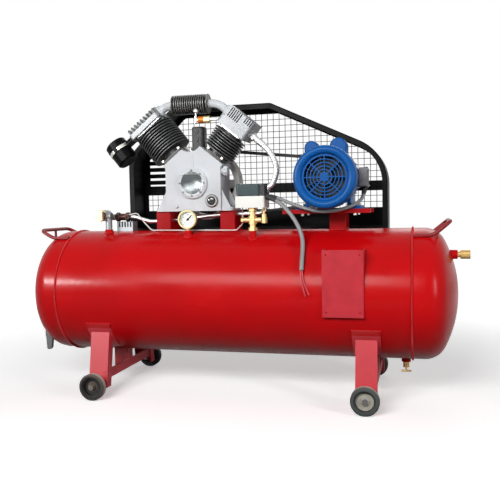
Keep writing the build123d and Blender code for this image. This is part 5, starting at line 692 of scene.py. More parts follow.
# Past the head's slab the ribs take the painted shade.
LOW_HEAD = ZonedFinish("low_pressure_head_metal", HEAD_SILVER, (
    (Beyond((CRANK_X, 0.0, CRANK_Z), -BANK_LEAN, 0.3085), RIB_PAINTED_SHADE),))
INLET_TEE = ZonedFinish("inlet_tee_metal", BROWN_BRASS, ((Box(high=(-0.556, FAR, FAR)), PALE_BRASS),))
CHECK_VALVE = ZonedFinish("check_valve_metal", FITTING_GREY, ((Box(high=(FAR, -0.066, FAR)), PALE_BRASS),))
RELIEF_VALVE = ZonedFinish("relief_valve_metal", STEEL, (
    (Box(low=(RELIEF_LEFT, -FAR, RELIEF_LOW), high=(RELIEF_MIDDLE, FAR, RELIEF_HIGH)), AMBER_BRASS),
    (Box(low=(RELIEF_MIDDLE, -FAR, RELIEF_LOW), high=(RELIEF_RIGHT, FAR, RELIEF_HIGH)), PALE_BRASS)))
FILLER = ZonedFinish("filler_and_breather_metal", SILVER, ((Box(high=(-0.095, FAR, FAR)), DARK_GREY),))


# ---------------------------------------------------------------- the frame and its pieces
class Machine:
    """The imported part: gives its nodes finishes and takes new pieces onto its main body."""

    def __init__(self) -> None:
        """Load the frame and keep its box."""
        self.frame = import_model()
        self.cad_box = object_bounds()
        self.smoother = smooth_tree()

    def finish_node(self, node: str, finish: Finish | ZonedFinish | GlassFinish) -> None:
        """Give a CAD node its finish, with smooth shading across its soft edges.

        Args:
            node: The node's name.
            finish: The finish.
        """
        piece = self.frame["nodes"][node]
        piece.data.materials.clear()
        piece.data.materials.append(finish.build())
        modifier = piece.modifiers.new("smooth", "NODES")
        modifier.node_group = self.smoother
        LOG.info("node %s: %s", node, finish.name)

    def add(self, piece: bpy.types.Object, slot: str, stands_for: tuple[str, ...] = ()) -> None:
        """Put a new piece on the machine's main body.

        Args:
            piece: The object, its place in its mesh.
            slot: The record's material slot; not used.
            stands_for: The CAD nodes it replaces.
        """
        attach(piece, MACHINE)
        if stands_for:
            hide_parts(*stands_for)
        LOG.info("piece %s on %s", piece.name, MACHINE)


def smooth_tree() -> bpy.types.NodeTree:
    """Build the tree that joins a CAD node's loose triangles and shades all but sharp edges smooth."""
    sockets = {"Geometry": (GEOMETRY, None), "Angle": (FLOAT, math.radians(28))}
    book, given, out = group_tree("smooth by angle", SHAPING, sockets, {"Geometry": GEOMETRY})
    merged = book.add("GeometryNodeMergeByDistance", {"Geometry": given["Geometry"],
                                                      "Distance": 2 * SAME_POINT})
    smooth = book.add("GeometryNodeSetShadeSmooth", {"Geometry": merged.outputs[0], "Shade Smooth": True})
    angle = book.add("GeometryNodeInputMeshEdgeAngle").outputs["Unsigned Angle"]
    sharp = book.add("FunctionNodeCompare", {0: angle, 1: given["Angle"]}, operation="GREATER_THAN")
    edges = book.add("GeometryNodeSetShadeSmooth", {
        "Geometry": smooth.outputs[0], "Selection": sharp.outputs[0], "Shade Smooth": False}, domain="EDGE")
    book.feed(out["Geometry"], edges.outputs[0])
    return book.tree


# ---------------------------------------------------------------- shapes
def linked(name: str, data: bpy.types.ID) -> bpy.types.Object:
    """Link a mesh, curve, lamp or camera to the scene as an object at the origin."""
    piece = bpy.data.objects.new(name, data)
    bpy.context.scene.collection.objects.link(piece)
    return piece


def evaluated_mesh(source: bpy.types.Object) -> bpy.types.Mesh:
    """Give the shape that an object's curve, text or modifiers make, as a mesh of its own."""
    graph = bpy.context.evaluated_depsgraph_get()
    return bpy.data.meshes.new_from_object(source.evaluated_get(graph), depsgraph=graph)


def from_bmesh(name: str, shape: bmesh.types.BMesh, finish: Finish,
               smooth: bool = True) -> bpy.types.Object:
    """Turn a bmesh into a linked object with its faces outwards.

    Args:
        name: The object's name.
        shape: The mesh under work, freed here.
        finish: Its finish.
        smooth: Whether its faces are shaded smooth.

    Returns:
        The object.
    """
    bmesh.ops.remove_doubles(shape, verts=shape.verts, dist=SAME_POINT)
    bmesh.ops.recalc_face_normals(shape, faces=shape.faces)
    mesh = bpy.data.meshes.new(name)
    shape.to_mesh(mesh)
    shape.free()
    mesh.polygons.foreach_set("use_smooth", [smooth] * len(mesh.polygons))
    mesh.materials.append(finish.build())
    return linked(name, mesh)


def bridge(shape: bmesh.types.BMesh, rings: list[list[bmesh.types.BMVert]], sides: int) -> None:
    """Join rings of vertices by faces, one ring to the next.

    Args:
        shape: The mesh under work.
        rings: The rings, each of one vertex or of as many as there are sides.
        sides: Faces round each step.
    """
    for low, high in zip(rings, rings[1:]):
        for i in range(sides):
            j = (i + 1) % sides
            corners = [low[0]] if len(low) == 1 else [low[i], low[j]]
            corners += [high[0]] if len(high) == 1 else [high[j], high[i]]
            shape.faces.new(corners)


def lathe(shape: bmesh.types.BMesh, profile: list[Flat], place: Matrix, sides: int) -> None:
    """Add a turned solid to a bmesh.

    Args:
        shape: The mesh under work.
        profile: Radius and height of each point, from bottom to top; radius 0 closes an end.
        place: Where its axis, local Z, goes.
        sides: Faces round it.
    """
    turns = [math.tau * i / sides for i in range(sides)]
    rings = []
    for radius, height in profile:
        points = [(radius * math.cos(t), radius * math.sin(t), height) for t in turns]
        if radius < ON_AXIS:
            points = [(0, 0, height)]
        rings.append([shape.verts.new(place @ Vector(point)) for point in points])
    bridge(shape, rings, sides)


def extruded(shape: bmesh.types.BMesh, outline: list[Point], way: Vector) -> None:
    """Add a closed prism to a bmesh.

    Args:
        shape: The mesh under work.
        outline: Its base's corners, in space.
        way: From the base to the other end.
    """
    base = [shape.verts.new(Vector(p)) for p in outline]
    top = [shape.verts.new(Vector(p) + way) for p in outline]
    shape.faces.new(base)
    shape.faces.new(list(reversed(top)))
    for i, vertex in enumerate(base):
        j = (i + 1) % len(base)
        shape.faces.new((vertex, top[i], top[j], base[j]))


def curve_of(name: str, kind: str, lines: Sequence[Sequence[Point]]) -> bpy.types.Curve:
    """Start a curve of one or more lines.

    Args:
        name: The curve's name.
        kind: The splines' type, "POLY" or "NURBS".
        lines: The points of each line.

    Returns:
        The curve, not linked.
    """
    curve = bpy.data.curves.new(name, "CURVE")
    curve.dimensions = "3D"
    for points in lines:
        spline = curve.splines.new(kind)
        spline.points.add(len(points) - 1)
        for slot, point in zip(spline.points, points):
            slot.co = (*point, 1.0)
    return curve


def lines_object(name: str, lines: list[list[Point]]) -> bpy.types.Object:
    """Make a linked curve object of straight-run lines, each given by its points."""
    return linked(name, curve_of(name, "POLY", lines))


def nurbs_object(name: str, route: tuple[Point, ...], diameter: float) -> bpy.types.Object:
    """Make one smooth round cord along a given route.

    Args:
        name: The object's name.
        route: The control points.
        diameter: The cord's diameter.

    Returns:
        The curve object, linked.
    """
    curve = curve_of(name, "NURBS", [route])
    curve.splines[0].order_u = 3
    curve.splines[0].use_endpoint_u = True
    curve.resolution_u = 12
    curve.bevel_depth = diameter / 2
    curve.bevel_resolution = 5
    curve.use_fill_caps = True
    return linked(name, curve)


# ---------------------------------------------------------------- geometry node trees
def ending(book: NodeBook, geometry: bpy.types.NodeSocket, material: object,
           out: bpy.types.NodeSocket) -> None:
    """End a tree: make its geometry real, give it the material and feed it to the output."""
    real = book.add("GeometryNodeRealizeInstances", {"Geometry": geometry}).outputs[0]
    book.feed(out, book.add("GeometryNodeSetMaterial", {"Geometry": real, "Material": material}).outputs[0])


def tube_tree() -> bpy.types.NodeTree:
    """Build the tree that gives every line of a curve a round section, with a tube UV map."""
    sockets = {"Geometry": (GEOMETRY, None), "Radius": (FLOAT, 0.001), "Sides": (INTEGER, 8),
               "Material": (MATERIAL, None)}
    book, given, out = group_tree("round section", SHAPING, sockets, {"Geometry": GEOMETRY})
    along = book.add("GeometryNodeSplineParameter").outputs["Length"]
    kept = book.add("GeometryNodeCaptureAttribute", {"Geometry": given["Geometry"]})
    kept.capture_items.new("FLOAT", "Along")
    book.feed(kept.inputs[1], along)
    ring = book.add("GeometryNodeCurvePrimitiveCircle", {"Resolution": given["Sides"],
                                                         "Radius": given["Radius"]})
    around = book.add("GeometryNodeCaptureAttribute", {"Geometry": ring.outputs[0]})
    around.capture_items.new("FLOAT", "Around")
    book.feed(around.inputs[1], book.add("GeometryNodeSplineParameter").outputs["Factor"])
    tube = book.add("GeometryNodeCurveToMesh", {
        "Curve": kept.outputs[0], "Profile Curve": around.outputs[0], "Fill Caps": True})
    pair = book.add("ShaderNodeCombineXYZ", {0: around.outputs[1], 1: kept.outputs[1]}).outputs[0]
    mapped = book.add("GeometryNodeStoreNamedAttribute", {
        "Geometry": tube.outputs[0], "Name": TUBE_UV, "Value": pair}, data_type="FLOAT2", domain="CORNER")
    smooth = book.add("GeometryNodeSetShadeSmooth", {"Geometry": mapped.outputs[0], "Shade Smooth": True})
    ending(book, smooth.outputs[0], given["Material"], out["Geometry"])
    return book.tree


def repeated(book: NodeBook, shape: object, points: object, turns: object) -> bpy.types.NodeSocket:
    """Add the nodes that put turned copies of an object's shape on points, and return the copies."""
    copied = book.add("GeometryNodeObjectInfo", {"Object": shape}).outputs["Geometry"]
    return book.add("GeometryNodeInstanceOnPoints", {"Points": points, "Instance": copied,
                                                     "Rotation": turns}).outputs[0]


def ring_tree() -> bpy.types.NodeTree:
    """Build the tree that repeats one shape round an arc, its local +Y away from the centre."""
    sockets = {"Geometry": (GEOMETRY, None), "Shape": (OBJECT, None), "Count": (INTEGER, 12),
               "Radius": (FLOAT, 0.02), "First Angle": (FLOAT, 0.0), "Step": (FLOAT, 0.5),
               "Material": (MATERIAL, None)}
    book, given, out = group_tree("repeat round an arc", SHAPING, sockets, {"Geometry": GEOMETRY})
    points = book.add("GeometryNodeMeshLine", {"Count": given["Count"], "Offset": (0.0, 0.0, 0.0)})
    index = book.add("GeometryNodeInputIndex").outputs[0]
    turned = book.scaled(index, given["Step"], given["First Angle"])
    spin = book.add("ShaderNodeCombineXYZ", {2: turned}).outputs[0]
    side = book.math("MULTIPLY", book.math("SINE", turned), -1.0)
    across = book.math("MULTIPLY", side, given["Radius"])
    up = book.math("MULTIPLY", book.math("COSINE", turned), given["Radius"])
    where = book.add("ShaderNodeCombineXYZ", {0: across, 1: up}).outputs[0]
    placed = book.add("GeometryNodeSetPosition", {"Geometry": points.outputs[0], "Position": where})
    copies = repeated(book, given["Shape"], placed.outputs[0], spin)
    ending(book, copies, given["Material"], out["Geometry"])
    return book.tree


def path_tree() -> bpy.types.NodeTree:
    """Build the tree that repeats one shape along a curve, turned to run with it."""
    sockets = {"Geometry": (GEOMETRY, None), "Shape": (OBJECT, None), "Spacing": (FLOAT, 0.004),
               "Material": (MATERIAL, None)}
    book, given, out = group_tree("repeat along a path", SHAPING, sockets, {"Geometry": GEOMETRY})
    points = book.add("GeometryNodeCurveToPoints", {"Curve": given["Geometry"], "Length": given["Spacing"]},
                      mode="LENGTH")
    copies = repeated(book, given["Shape"], points.outputs["Points"], points.outputs["Rotation"])
    ending(book, copies, given["Material"], out["Geometry"])
    return book.tree


class Trees:
    """The geometry node trees, each built once."""

    def __init__(self) -> None:
        """Build the trees."""
        self.tube = tube_tree()
        self.ring = ring_tree()
        self.path = path_tree()

    def run(self, source: bpy.types.Object, tree: bpy.types.NodeTree, values: dict) -> bpy.types.Object:
        """Run a tree on an object and return the result as a plain mesh object of the same name.

        Args:
            source: The curve or mesh object, removed here.
            tree: The tree.
            values: The modifier's inputs by name.

        Returns:
            The finished object.
        """
        name = source.name
        modifier = source.modifiers.new("shape", "NODES")
        modifier.node_group = tree
        for item in tree.interface.items_tree:
            if item.item_type == "SOCKET" and item.in_out == "INPUT" and item.name in values:
                modifier[item.identifier] = values[item.name]
        mesh = evaluated_mesh(source)
        source.modifiers.remove(modifier)
        bpy.data.objects.remove(source)
        mesh.name = name
        return linked(name, mesh)

    def round_arc(self, name: str, shape: bpy.types.Object, finish: Finish, count: int, radius: float,
                  first: float, step: float) -> bpy.types.Object:
        """Repeat a shape round an arc about the origin, in the XY plane.

        Args:
            name: The finished object's name.
            shape: The single shape, removed here.
            finish: The copies' finish.
            count: How many.
            radius: The arc's radius.
            first: Angle of the first from straight up, anticlockwise.
            step: Angle from one to the next.

        Returns:
            The finished object.
        """
        values = {"Shape": shape, "Count": count, "Radius": radius, "First Angle": first, "Step": step,
                  "Material": finish.build()}
        carrier = lines_object(name, [[(0.0, 0.0, 0.0), (0.001, 0.0, 0.0)]])
        made = self.run(carrier, self.ring, values)
        bpy.data.objects.remove(shape)
        return made

    def along(self, name: str, lines: list[list[Point]], shape: bpy.types.Object, finish: Finish,
              spacing: float) -> bpy.types.Object:
        """Repeat a shape along lines, turned to run with them.

        Args:
            name: The finished object's name.
            lines: The points of each line.
            shape: The single shape, removed here.
            finish: The copies' finish.
            spacing: Distance from one to the next.

        Returns:
            The finished object.
        """
        values = {"Shape": shape, "Spacing": spacing, "Material": finish.build()}
        made = self.run(lines_object(name, lines), self.path, values)
        bpy.data.objects.remove(shape)
        return made

    def tubes(self, name: str, lines: list[list[Point]], radius: float, finish: Finish | BraidFinish,
              sides: int) -> bpy.types.Object:
        """Make round wires or tubes along lines, each given by its points, with so many sides."""
        values = {"Radius": radius, "Sides": sides, "Material": finish.build()}
        return self.run(lines_object(name, lines), self.tube, values)


def join(name: str, pieces: list[bpy.types.Object]) -> bpy.types.Object:
    """Join objects into the first and name it.

    Args:
        name: The joined object's name.
        pieces: The objects.

    Returns:
        The joined object.
    """
    with bpy.context.temp_override(active_object=pieces[0], object=pieces[0], selected_objects=pieces,
                                   selected_editable_objects=pieces):
        bpy.ops.object.join()
    pieces[0].name = name
    return pieces[0]


# ---------------------------------------------------------------- belt guard
def rounded(corners: list[Flat], radii: Sequence[float], steps: int = 10) -> list[Flat]:
    """Round the corners of a closed outline.

    Args:
        corners: The corners in order.
        radii: The radius at each corner, 0 for a sharp one.
        steps: Points of each arc beyond its first.

    Returns:
        The outline's points.
    """
    outline: list[Flat] = []
    count = len(corners)
    for i, radius in enumerate(radii):
        corner = Vector(corners[i])
        before = (Vector(corners[i - 1]) - corner).normalized()
        after = (Vector(corners[(i + 1) % count]) - corner).normalized()
        if radius <= 0:
            outline.append(tuple(corner))
            continue
        half = before.angle(after) / 2
        middle = corner + (before + after).normalized() * (radius / math.sin(half))
        start = corner + before * (radius / math.tan(half)) - middle
        sweep = start.angle_signed(corner + after * (radius / math.tan(half)) - middle)
        for step in range(steps + 1):
            turn = -sweep * step / steps
            outline.append((middle.x + start.x * math.cos(turn) - start.y * math.sin(turn),
                            middle.y + start.x * math.sin(turn) + start.y * math.cos(turn)))
    return outline


def cut(outline: list[Flat], axis: int, at: float, above: bool) -> list[Flat]:
    """Keep the part of an outline on one side of a straight line.

    Args:
        outline: The closed outline.
        axis: 0 for a line of constant X, 1 for one of constant Z.
        at: The line's place.
        above: Whether the part beyond the line is kept.

    Returns:
        The part's outline.
    """
    way = 1 if above else -1
    kept: list[Flat] = []
    for first, second in zip(outline, outline[1:] + outline[:1]):
        inside = (first[axis] - at) * way >= 0
        if inside:
            kept.append(first)
        if inside != ((second[axis] - at) * way >= 0):
            share = (at - first[axis]) / (second[axis] - first[axis])
            kept.append(tuple(a + share * (b - a) for a, b in zip(first, second)))
    return kept


def crossings(outline: list[Flat], at: float, axis: int) -> list[float]:
    """Find where a straight line crosses an outline.

    Args:
        outline: The closed outline.
        at: The line's place on the axis.
        axis: 0 for a line of constant X, 1 for one of constant Z.

    Returns:
        The crossings on the other axis, in order.
    """
    found = []
    for first, second in zip(outline, outline[1:] + outline[:1]):
        a, b = first[axis], second[axis]
        if (a - at) * (b - at) < 0:
            share = (at - a) / (b - a)
            found.append(first[1 - axis] + share * (second[1 - axis] - first[1 - axis]))
    return sorted(found)


@dataclass
class BeltGuard:
    """Sheet rim with a wire net, louvred panel and solid skirt at its back, in two halves."""

    machine: Machine
    trees: Trees
    left: float = -0.5135
    right: float = 0.5505
    top: float = 1.121
    low: float = 0.612
    front: float = 0.092
    back: float = 0.250
    left_eave: float = 0.930
    right_eave: float = 0.911
    crest_left: float = -0.3205
    crest_right: float = 0.0975
    radii: tuple[float, ...] = (0.0, 0.0, 0.180, 0.030, 0.060, 0.120)
    split: float = 0.790
    split_bar: float = 0.020
    sheet: float = 0.003
    flange: float = 0.020
    skirt_top: float = 0.702
    wire_pitch: float = 0.025
    wire_radius: float = 0.0013
    louvre_right: float = -0.3905
    louvre_top: float = 1.000
    slot_first: float = 0.807
    slot_pitch: float = 0.028
    slot_height: float = 0.010
    slot_count: int = 5
    slot_ends: Flat = (-0.4835, -0.4005)
    foot_places: Flat = (-0.3505, 0.3095)
    foot_width: float = 0.040
    foot_depth: float = 0.050
    foot_sheet: float = 0.004
    sharpest_turn: float = 0.3  # holds back the inset at the outline's sharp corners
    panel_lap: float = 0.001  # how far panels reach under the flange
    panel_faces: Flat = (0.9, 0.1)  # front and back of a panel, as shares of the sheet from its back
    net_inset: float = 0.6  # where wires end, as a share of the flange
    wire_bite: float = 0.7  # wires stand off the sheet's middle by this share of their radius

    def outline(self, inset: float) -> list[Flat]:
        """Give the guard's outline in X and Z, moved inwards.

        Args:
            inset: Distance inwards from the sheet's outer face.

        Returns:
            The outline's points.
        """
        corners = [(self.left, self.low), (self.right, self.low), (self.right, self.right_eave),
                   (self.crest_right, self.top), (self.crest_left, self.top), (self.left, self.left_eave)]
        points = rounded(corners, self.radii)
        moved = []
        count = len(points)
        for i, point in enumerate(points):
            before = (Vector(point) - Vector(points[i - 1])).normalized()
            after = (Vector(points[(i + 1) % count]) - Vector(point)).normalized()
            normal = Vector((-before.y, before.x)) + Vector((-after.y, after.x))
            normal.normalize()
            reach = inset / max(self.sharpest_turn, normal.dot(Vector((-before.y, before.x))))
            moved.append((point[0] + normal.x * reach, point[1] + normal.y * reach))
        return moved

    def plate(self, shape: bmesh.types.BMesh, outline: list[Flat], low: float, high: float) -> None:
        """Add a plate that lies across Y from low to high, by its outline in X and Z."""
        if len(outline) > 2:
            extruded(shape, [(x, low, z) for x, z in outline], Vector((0, high - low, 0)))

    def rim(self, shape: bmesh.types.BMesh, upper: bool) -> None:
        """Add the bent sheet round one half, with its flange at the front and the back.

        Args:
            shape: The mesh under work.
            upper: Which half.
        """
        outer = self.outline(0)
        levels = ((self.front, self.front + self.sheet, self.outline(self.flange)),
                  (self.front, self.back, self.outline(self.sheet)),
                  (self.back - self.sheet, self.back, self.outline(self.flange)))
        for low, high, inside in levels:
            for i in range(len(outer)):
                j = (i + 1) % len(outer)
                piece = cut([outer[i], outer[j], inside[j], inside[i]], 1, self.split, upper)
                self.plate(shape, piece, low, high)

    def panels(self, shape: bmesh.types.BMesh, upper: bool) -> None:
        """Add the split bar, the skirt and the louvred panel between the flanges.

        Args:
            shape: The mesh under work.
            upper: Which half.
        """
        inside = self.outline(self.flange - self.panel_lap)
        low, high = (self.back - self.sheet * share for share in self.panel_faces)
        way = 1 if upper else -1
        bar = sorted((self.split, self.split + way * self.split_bar))
        self.plate(shape, cut(cut(inside, 1, bar[0], True), 1, bar[1], False), low, high)
        if not upper:
            self.plate(shape, cut(inside, 1, self.skirt_top, False), low, high)
            return
        panel = cut(cut(inside, 0, self.louvre_right, False), 1, self.louvre_top, False)
        edge = self.split + self.split_bar
        slots = [self.slot_first + i * self.slot_pitch for i in range(self.slot_count)]
        for start, end in zip([edge] + [s + self.slot_height for s in slots], slots + [self.louvre_top]):
            if end > start:
                self.plate(shape, cut(cut(panel, 1, start, True), 1, end, False), low, high)
        for slot in slots:
            start = max(slot, edge)
            band = cut(cut(panel, 1, start, True), 1, slot + self.slot_height, False)
            self.plate(shape, cut(band, 0, self.slot_ends[0], False), low, high)
            self.plate(shape, cut(band, 0, self.slot_ends[1], True), low, high)

    def wires(self, upper: bool) -> list[list[Point]]:
        """List the straight wires of the net at the back, clear of the blank panels.

        Args:
            upper: Which half.

        Returns:
            The end points of each wire.
        """
        outline = cut(self.outline(self.flange * self.net_inset), 1, self.split, upper)
        if not upper:
            outline = cut(outline, 1, self.skirt_top, True)
        louvre = (self.louvre_right, self.louvre_top)
        middle = self.back - self.sheet / 2
        lines = []
        for axis, bite in ((0, -self.wire_bite), (1, self.wire_bite)):
            low = min(p[axis] for p in outline)
            high = max(p[axis] for p in outline)
            y = middle + self.wire_radius * bite
            for step in range(math.ceil(low / self.wire_pitch), int(high / self.wire_pitch) + 1):
                at = step * self.wire_pitch
                ends = crossings(outline, at, axis)
                for start, end in zip(ends[::2], ends[1::2]):
                    if upper and at < louvre[axis]:
                        start = max(start, louvre[1 - axis])
                    if end - start > self.wire_pitch / 2:
                        pair = [(at, start), (at, end)] if axis == 0 else [(start, at), (end, at)]
                        lines.append([(x, y, z) for x, z in pair])
        return lines

    def feet(self, shape: bmesh.types.BMesh, bottom: float) -> None:
        """Add the two sheet feet that stand on the receiver.

        Args:
            shape: The mesh under work.
            bottom: Where the feet's lowest edge is.
        """
        for x in self.foot_places:
            left, right = x - self.foot_width / 2, x + self.foot_width / 2
            for end, depth in ((bottom, self.foot_sheet), (self.low + self.foot_sheet, self.foot_depth)):
                corners = [(left, self.low), (right, self.low), (right, end), (left, end)]
                self.plate(shape, corners, self.front, self.front + depth)

    def build(self) -> None:
        """Build both halves and let them stand for the CAD guard."""
        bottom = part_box("guard_lower")[0].z
        for upper, node in ((True, "guard_upper"), (False, "guard_lower")):
            shape = bmesh.new()
            self.rim(shape, upper)
            self.panels(shape, upper)
            if not upper:
                self.feet(shape, bottom)
            sheet = from_bmesh("rim", shape, BLACK, smooth=False)
            net = self.trees.tubes("net", self.wires(upper), self.wire_radius, BLACK, sides=6)
            self.machine.add(join(f"belt_{node}", [sheet, net]), "black_paint", stands_for=(node,))


# ---------------------------------------------------------------- cords and hose
def followed(route: tuple[Point, ...]) -> list[Vector]:
    """Give the line of a route's NURBS curve, as points."""
    source = nurbs_object("line", route, 0.0)
    mesh = evaluated_mesh(source)
    points = [vertex.co.copy() for vertex in mesh.vertices]
    bpy.data.meshes.remove(mesh)
    bpy.data.objects.remove(source)
    return points


def sleeve(name: str, line: list[Vector], profile: list[Flat], finish: Finish,
           sides: int = 28) -> bpy.types.Object:
    """Make a closed sleeve round the start of a line.

    Args:
        name: The object's name.
        line: The points that it follows.
        profile: Distance along the line and radius of each ring, the first and last with radius 0.
        finish: Its finish.
        sides: Faces round it.

    Returns:
        The object.
    """
    shape = bmesh.new()
    turns = [math.tau * i / sides for i in range(sides)]
    rings = []
    for left, radius in profile:
        for first, second in zip(line, line[1:]):
            step, way = (second - first).length, (second - first).normalized()
            at = first + way * min(left, step)
            if left <= step:
                break
            left -= step
        across = way.cross(Vector((0, 1, 0))).normalized()
        over = way.cross(across)
        points = [at + (across * math.cos(t) + over * math.sin(t)) * radius for t in turns]
        if radius < ON_AXIS:
            points = [at]
        rings.append([shape.verts.new(point) for point in points])
    bridge(shape, rings, sides)
    return from_bmesh(name, shape, finish)


def relief_profile(start: float, end: float, length: float, ribs: int, groove: float) -> list[Flat]:
    """Give the profile of a ribbed, tapered strain relief.

    Args:
        start: Radius at the gland.
        end: Radius on the cord.
        length: Its length.
        ribs: How many grooves it has.
        groove: How deep they are.

    Returns:
        Distance and radius of each ring.
    """
    profile: list[Flat] = [(0.0, 0.0), (0.0, start)]
    for i in range(ribs):
        for part, drop in ((0.15, 0.0), (0.3, groove), (0.7, groove), (0.85, 0.0)):
            share = (i + part) / ribs
            radius = start + (end - start) * share
            profile.append((length * share, max(end, radius - drop)))
    return profile + [(length, end), (length, 0.0)]


@dataclass
class Cords:
    """Mains cord with its bare cores, the motor's cable, and their strain reliefs."""

    machine: Machine
    mains_diameter: float = 0.015
    motor_diameter: float = 0.0125
    core_diameter: float = 0.004
    mains_gland: float = 0.0105
    motor_gland: float = 0.0100
    relief_length: float = 0.034
    relief_wall: float = 0.0006
    relief_ribs: int = 6
    relief_groove: float = 0.0012
    mains_route: tuple[Point, ...] = (
        (0.1315, -0.114, 0.746), (0.1695, -0.124, 0.733), (0.2135, -0.146, 0.692), (0.2455, -0.154, 0.646),
        (0.2635, -0.161, 0.601), (0.2685, -0.186, 0.559), (0.2695, -0.217, 0.516), (0.2705, -0.231, 0.488))
    core_routes: tuple[tuple[Point, ...], ...] = (
        ((0.268, -0.231, 0.488), (0.2695, -0.243, 0.456), (0.2795, -0.249, 0.426), (0.2855, -0.249, 0.400)),
        ((0.273, -0.231, 0.488), (0.2765, -0.242, 0.457), (0.2885, -0.249, 0.428), (0.2995, -0.251, 0.405)))
    motor_route: tuple[Point, ...] = (
        (0.1315, -0.090, 0.748), (0.1555, -0.098, 0.746), (0.1845, -0.120, 0.736), (0.2295, -0.146, 0.718),
        (0.2795, -0.152, 0.701), (0.3295, -0.156, 0.690), (0.3815, -0.156, 0.693), (0.4315, -0.148, 0.706),
        (0.4635, -0.120, 0.724), (0.4735, -0.080, 0.744), (0.4745, -0.050, 0.768))

    def build(self) -> None:
        mains = self.lead("mains_lead", self.mains_route, self.mains_diameter, CORD_GREY)
        cores = [self.lead(f"mains_core_{number}", route, self.core_diameter, CORE_RED)
                 for number, route in enumerate(self.core_routes)]
        self.machine.add(mains, "cord_grey", stands_for=("mains_cord",))
        for core, route in zip(cores, self.core_routes):
            self.machine.add(core, "cord_grey")
        relief = self.relief("mains_relief", self.mains_route, self.mains_gland, self.mains_diameter)
        motor = self.lead("motor_lead", self.motor_route, self.motor_diameter, CORD_GREY)
        self.machine.add(motor, "cord_grey", stands_for=("motor_cable",))
        ends = [self.relief(name, route, self.motor_gland, self.motor_diameter)
                for name, route in (("motor_relief", self.motor_route),
                                    ("terminal_relief", self.motor_route[::-1]))]

    def lead(self, name: str, route: tuple[Point, ...], diameter: float, finish: Finish) -> bpy.types.Object:
        """Make one cord or core along its control points, with its finish."""
        piece = nurbs_object(name, route, diameter)
        piece.data.materials.append(finish.build())
        return piece

    def relief(self, name: str, route: tuple[Point, ...], gland: float, diameter: float) -> bpy.types.Object:
        """Add the ribbed strain relief at the start of a route.

        Args:
            name: The piece's name.
            route: The cord's route from that end.
            gland: Radius at the gland.
            diameter: The cord's diameter.

        Returns:
            The piece.
        """
        end = diameter / 2 + self.relief_wall
        profile = relief_profile(gland, end, self.relief_length, self.relief_ribs, self.relief_groove)
        piece = sleeve(name, followed(route), profile, BLACK_PLASTIC)
        self.machine.add(piece, "black_plastic")
        return piece


@dataclass
class BraidedHose:
    """Steel-braided hose from the high-pressure head to the delivery pipe, with a ferrule at each end."""

    machine: Machine
    trees: Trees
    diameter: float = 0.021
    ferrule_radius: float = 0.0125
    ferrule_length: float = 0.020
    ferrule_edge: Flat = (0.001, 0.0012)
    crimps: Flat = (0.004, 0.011)
    crimp_slope: float = 0.0008
    crimp_width: float = 0.003
    crimp_depth: float = 0.001
    route: tuple[Point, ...] = (
        (0.0742, -0.010, 0.9609), (0.1099, -0.010, 0.932), (0.1455, -0.010, 0.866), (0.1315, -0.010, 0.802),
        (0.0975, -0.010, 0.779), (0.0975, -0.010, 0.753))

    def build(self) -> None:
        """Skin the CAD hose's route with a braided tube and crimp its ends."""
        line = followed(self.route)
        lines = [[tuple(point) for point in line]]
        hose = self.trees.tubes("braided_hose", lines, self.diameter / 2, BRAID, sides=24)
        self.machine.add(hose, "steel", stands_for=("discharge_hose",))
        for name, path in (("upper_ferrule", line), ("lower_ferrule", line[::-1])):
            self.machine.add(sleeve(name, path, self.ferrule(), STEEL), "steel")

    def ferrule(self) -> list[Flat]:
        """Give the profile of a ferrule with its crimped grooves: distance and radius of each ring."""
        grip, long = self.ferrule_radius, self.ferrule_length
        groove = grip - self.crimp_depth
        profile = [(0.0, 0.0), (0.0, grip)]
        for at in self.crimps:
            profile += [(at, grip), (at + self.crimp_slope, groove),
                        (at + self.crimp_width - self.crimp_slope, groove), (at + self.crimp_width, grip)]
        back, drop = self.ferrule_edge
        return profile + [(long - back, grip), (long, grip - drop), (long, 0.0)]


# ---------------------------------------------------------------- fasteners, welds and trim
class Facing(Enum):
    """The way a fastener's head looks."""

    FRONT = (90, "X")
    UP = (0, "X")
    RIGHT = (90, "Y")

    def turn(self) -> Matrix:
        """Give the turn from local Z to this way."""
        return Matrix.Rotation(math.radians(self.value[0]), 4, self.value[1])


@dataclass(frozen=True)
class Screws:
    """A ring of equal screws, or one screw where the radius is 0."""

    name: str
    at: Point
    facing: Facing
    head: float
    count: int = 1
    radius: float = 0.0
    finish: Finish = ZINC
    socket: float = 0.5  # the socket's width as a share of the head's
    height: float = 0.45  # the head's height as a share of its width
    sunk: float = 0.001

    def shape(self) -> bpy.types.Object:
        """Make one screw head with its socket, on local Z."""
        shape = bmesh.new()
        rim, high, hole = self.head / 2, self.head * self.height, self.head * self.socket / 2
        lathe(shape, [(0, -self.sunk), (rim, -self.sunk), (rim, high * 0.8), (rim * 0.88, high), (hole, high),
                      (hole * 0.96, high * 0.25), (0, high * 0.2)], Matrix.Identity(4), sides=18)
        return from_bmesh("screw", shape, self.finish, smooth=False)

    def build(self, machine: Machine, trees: Trees) -> None:
        """Repeat the screw round its ring.

        Args:
            machine: What it goes on.
            trees: The geometry node trees.
        """
        made = trees.round_arc(self.name, self.shape(), self.finish, self.count, self.radius, 0.0,
                               math.tau / self.count)
        made.data.transform(Matrix.Translation(self.at) @ self.facing.turn())
        machine.add(made, "steel")


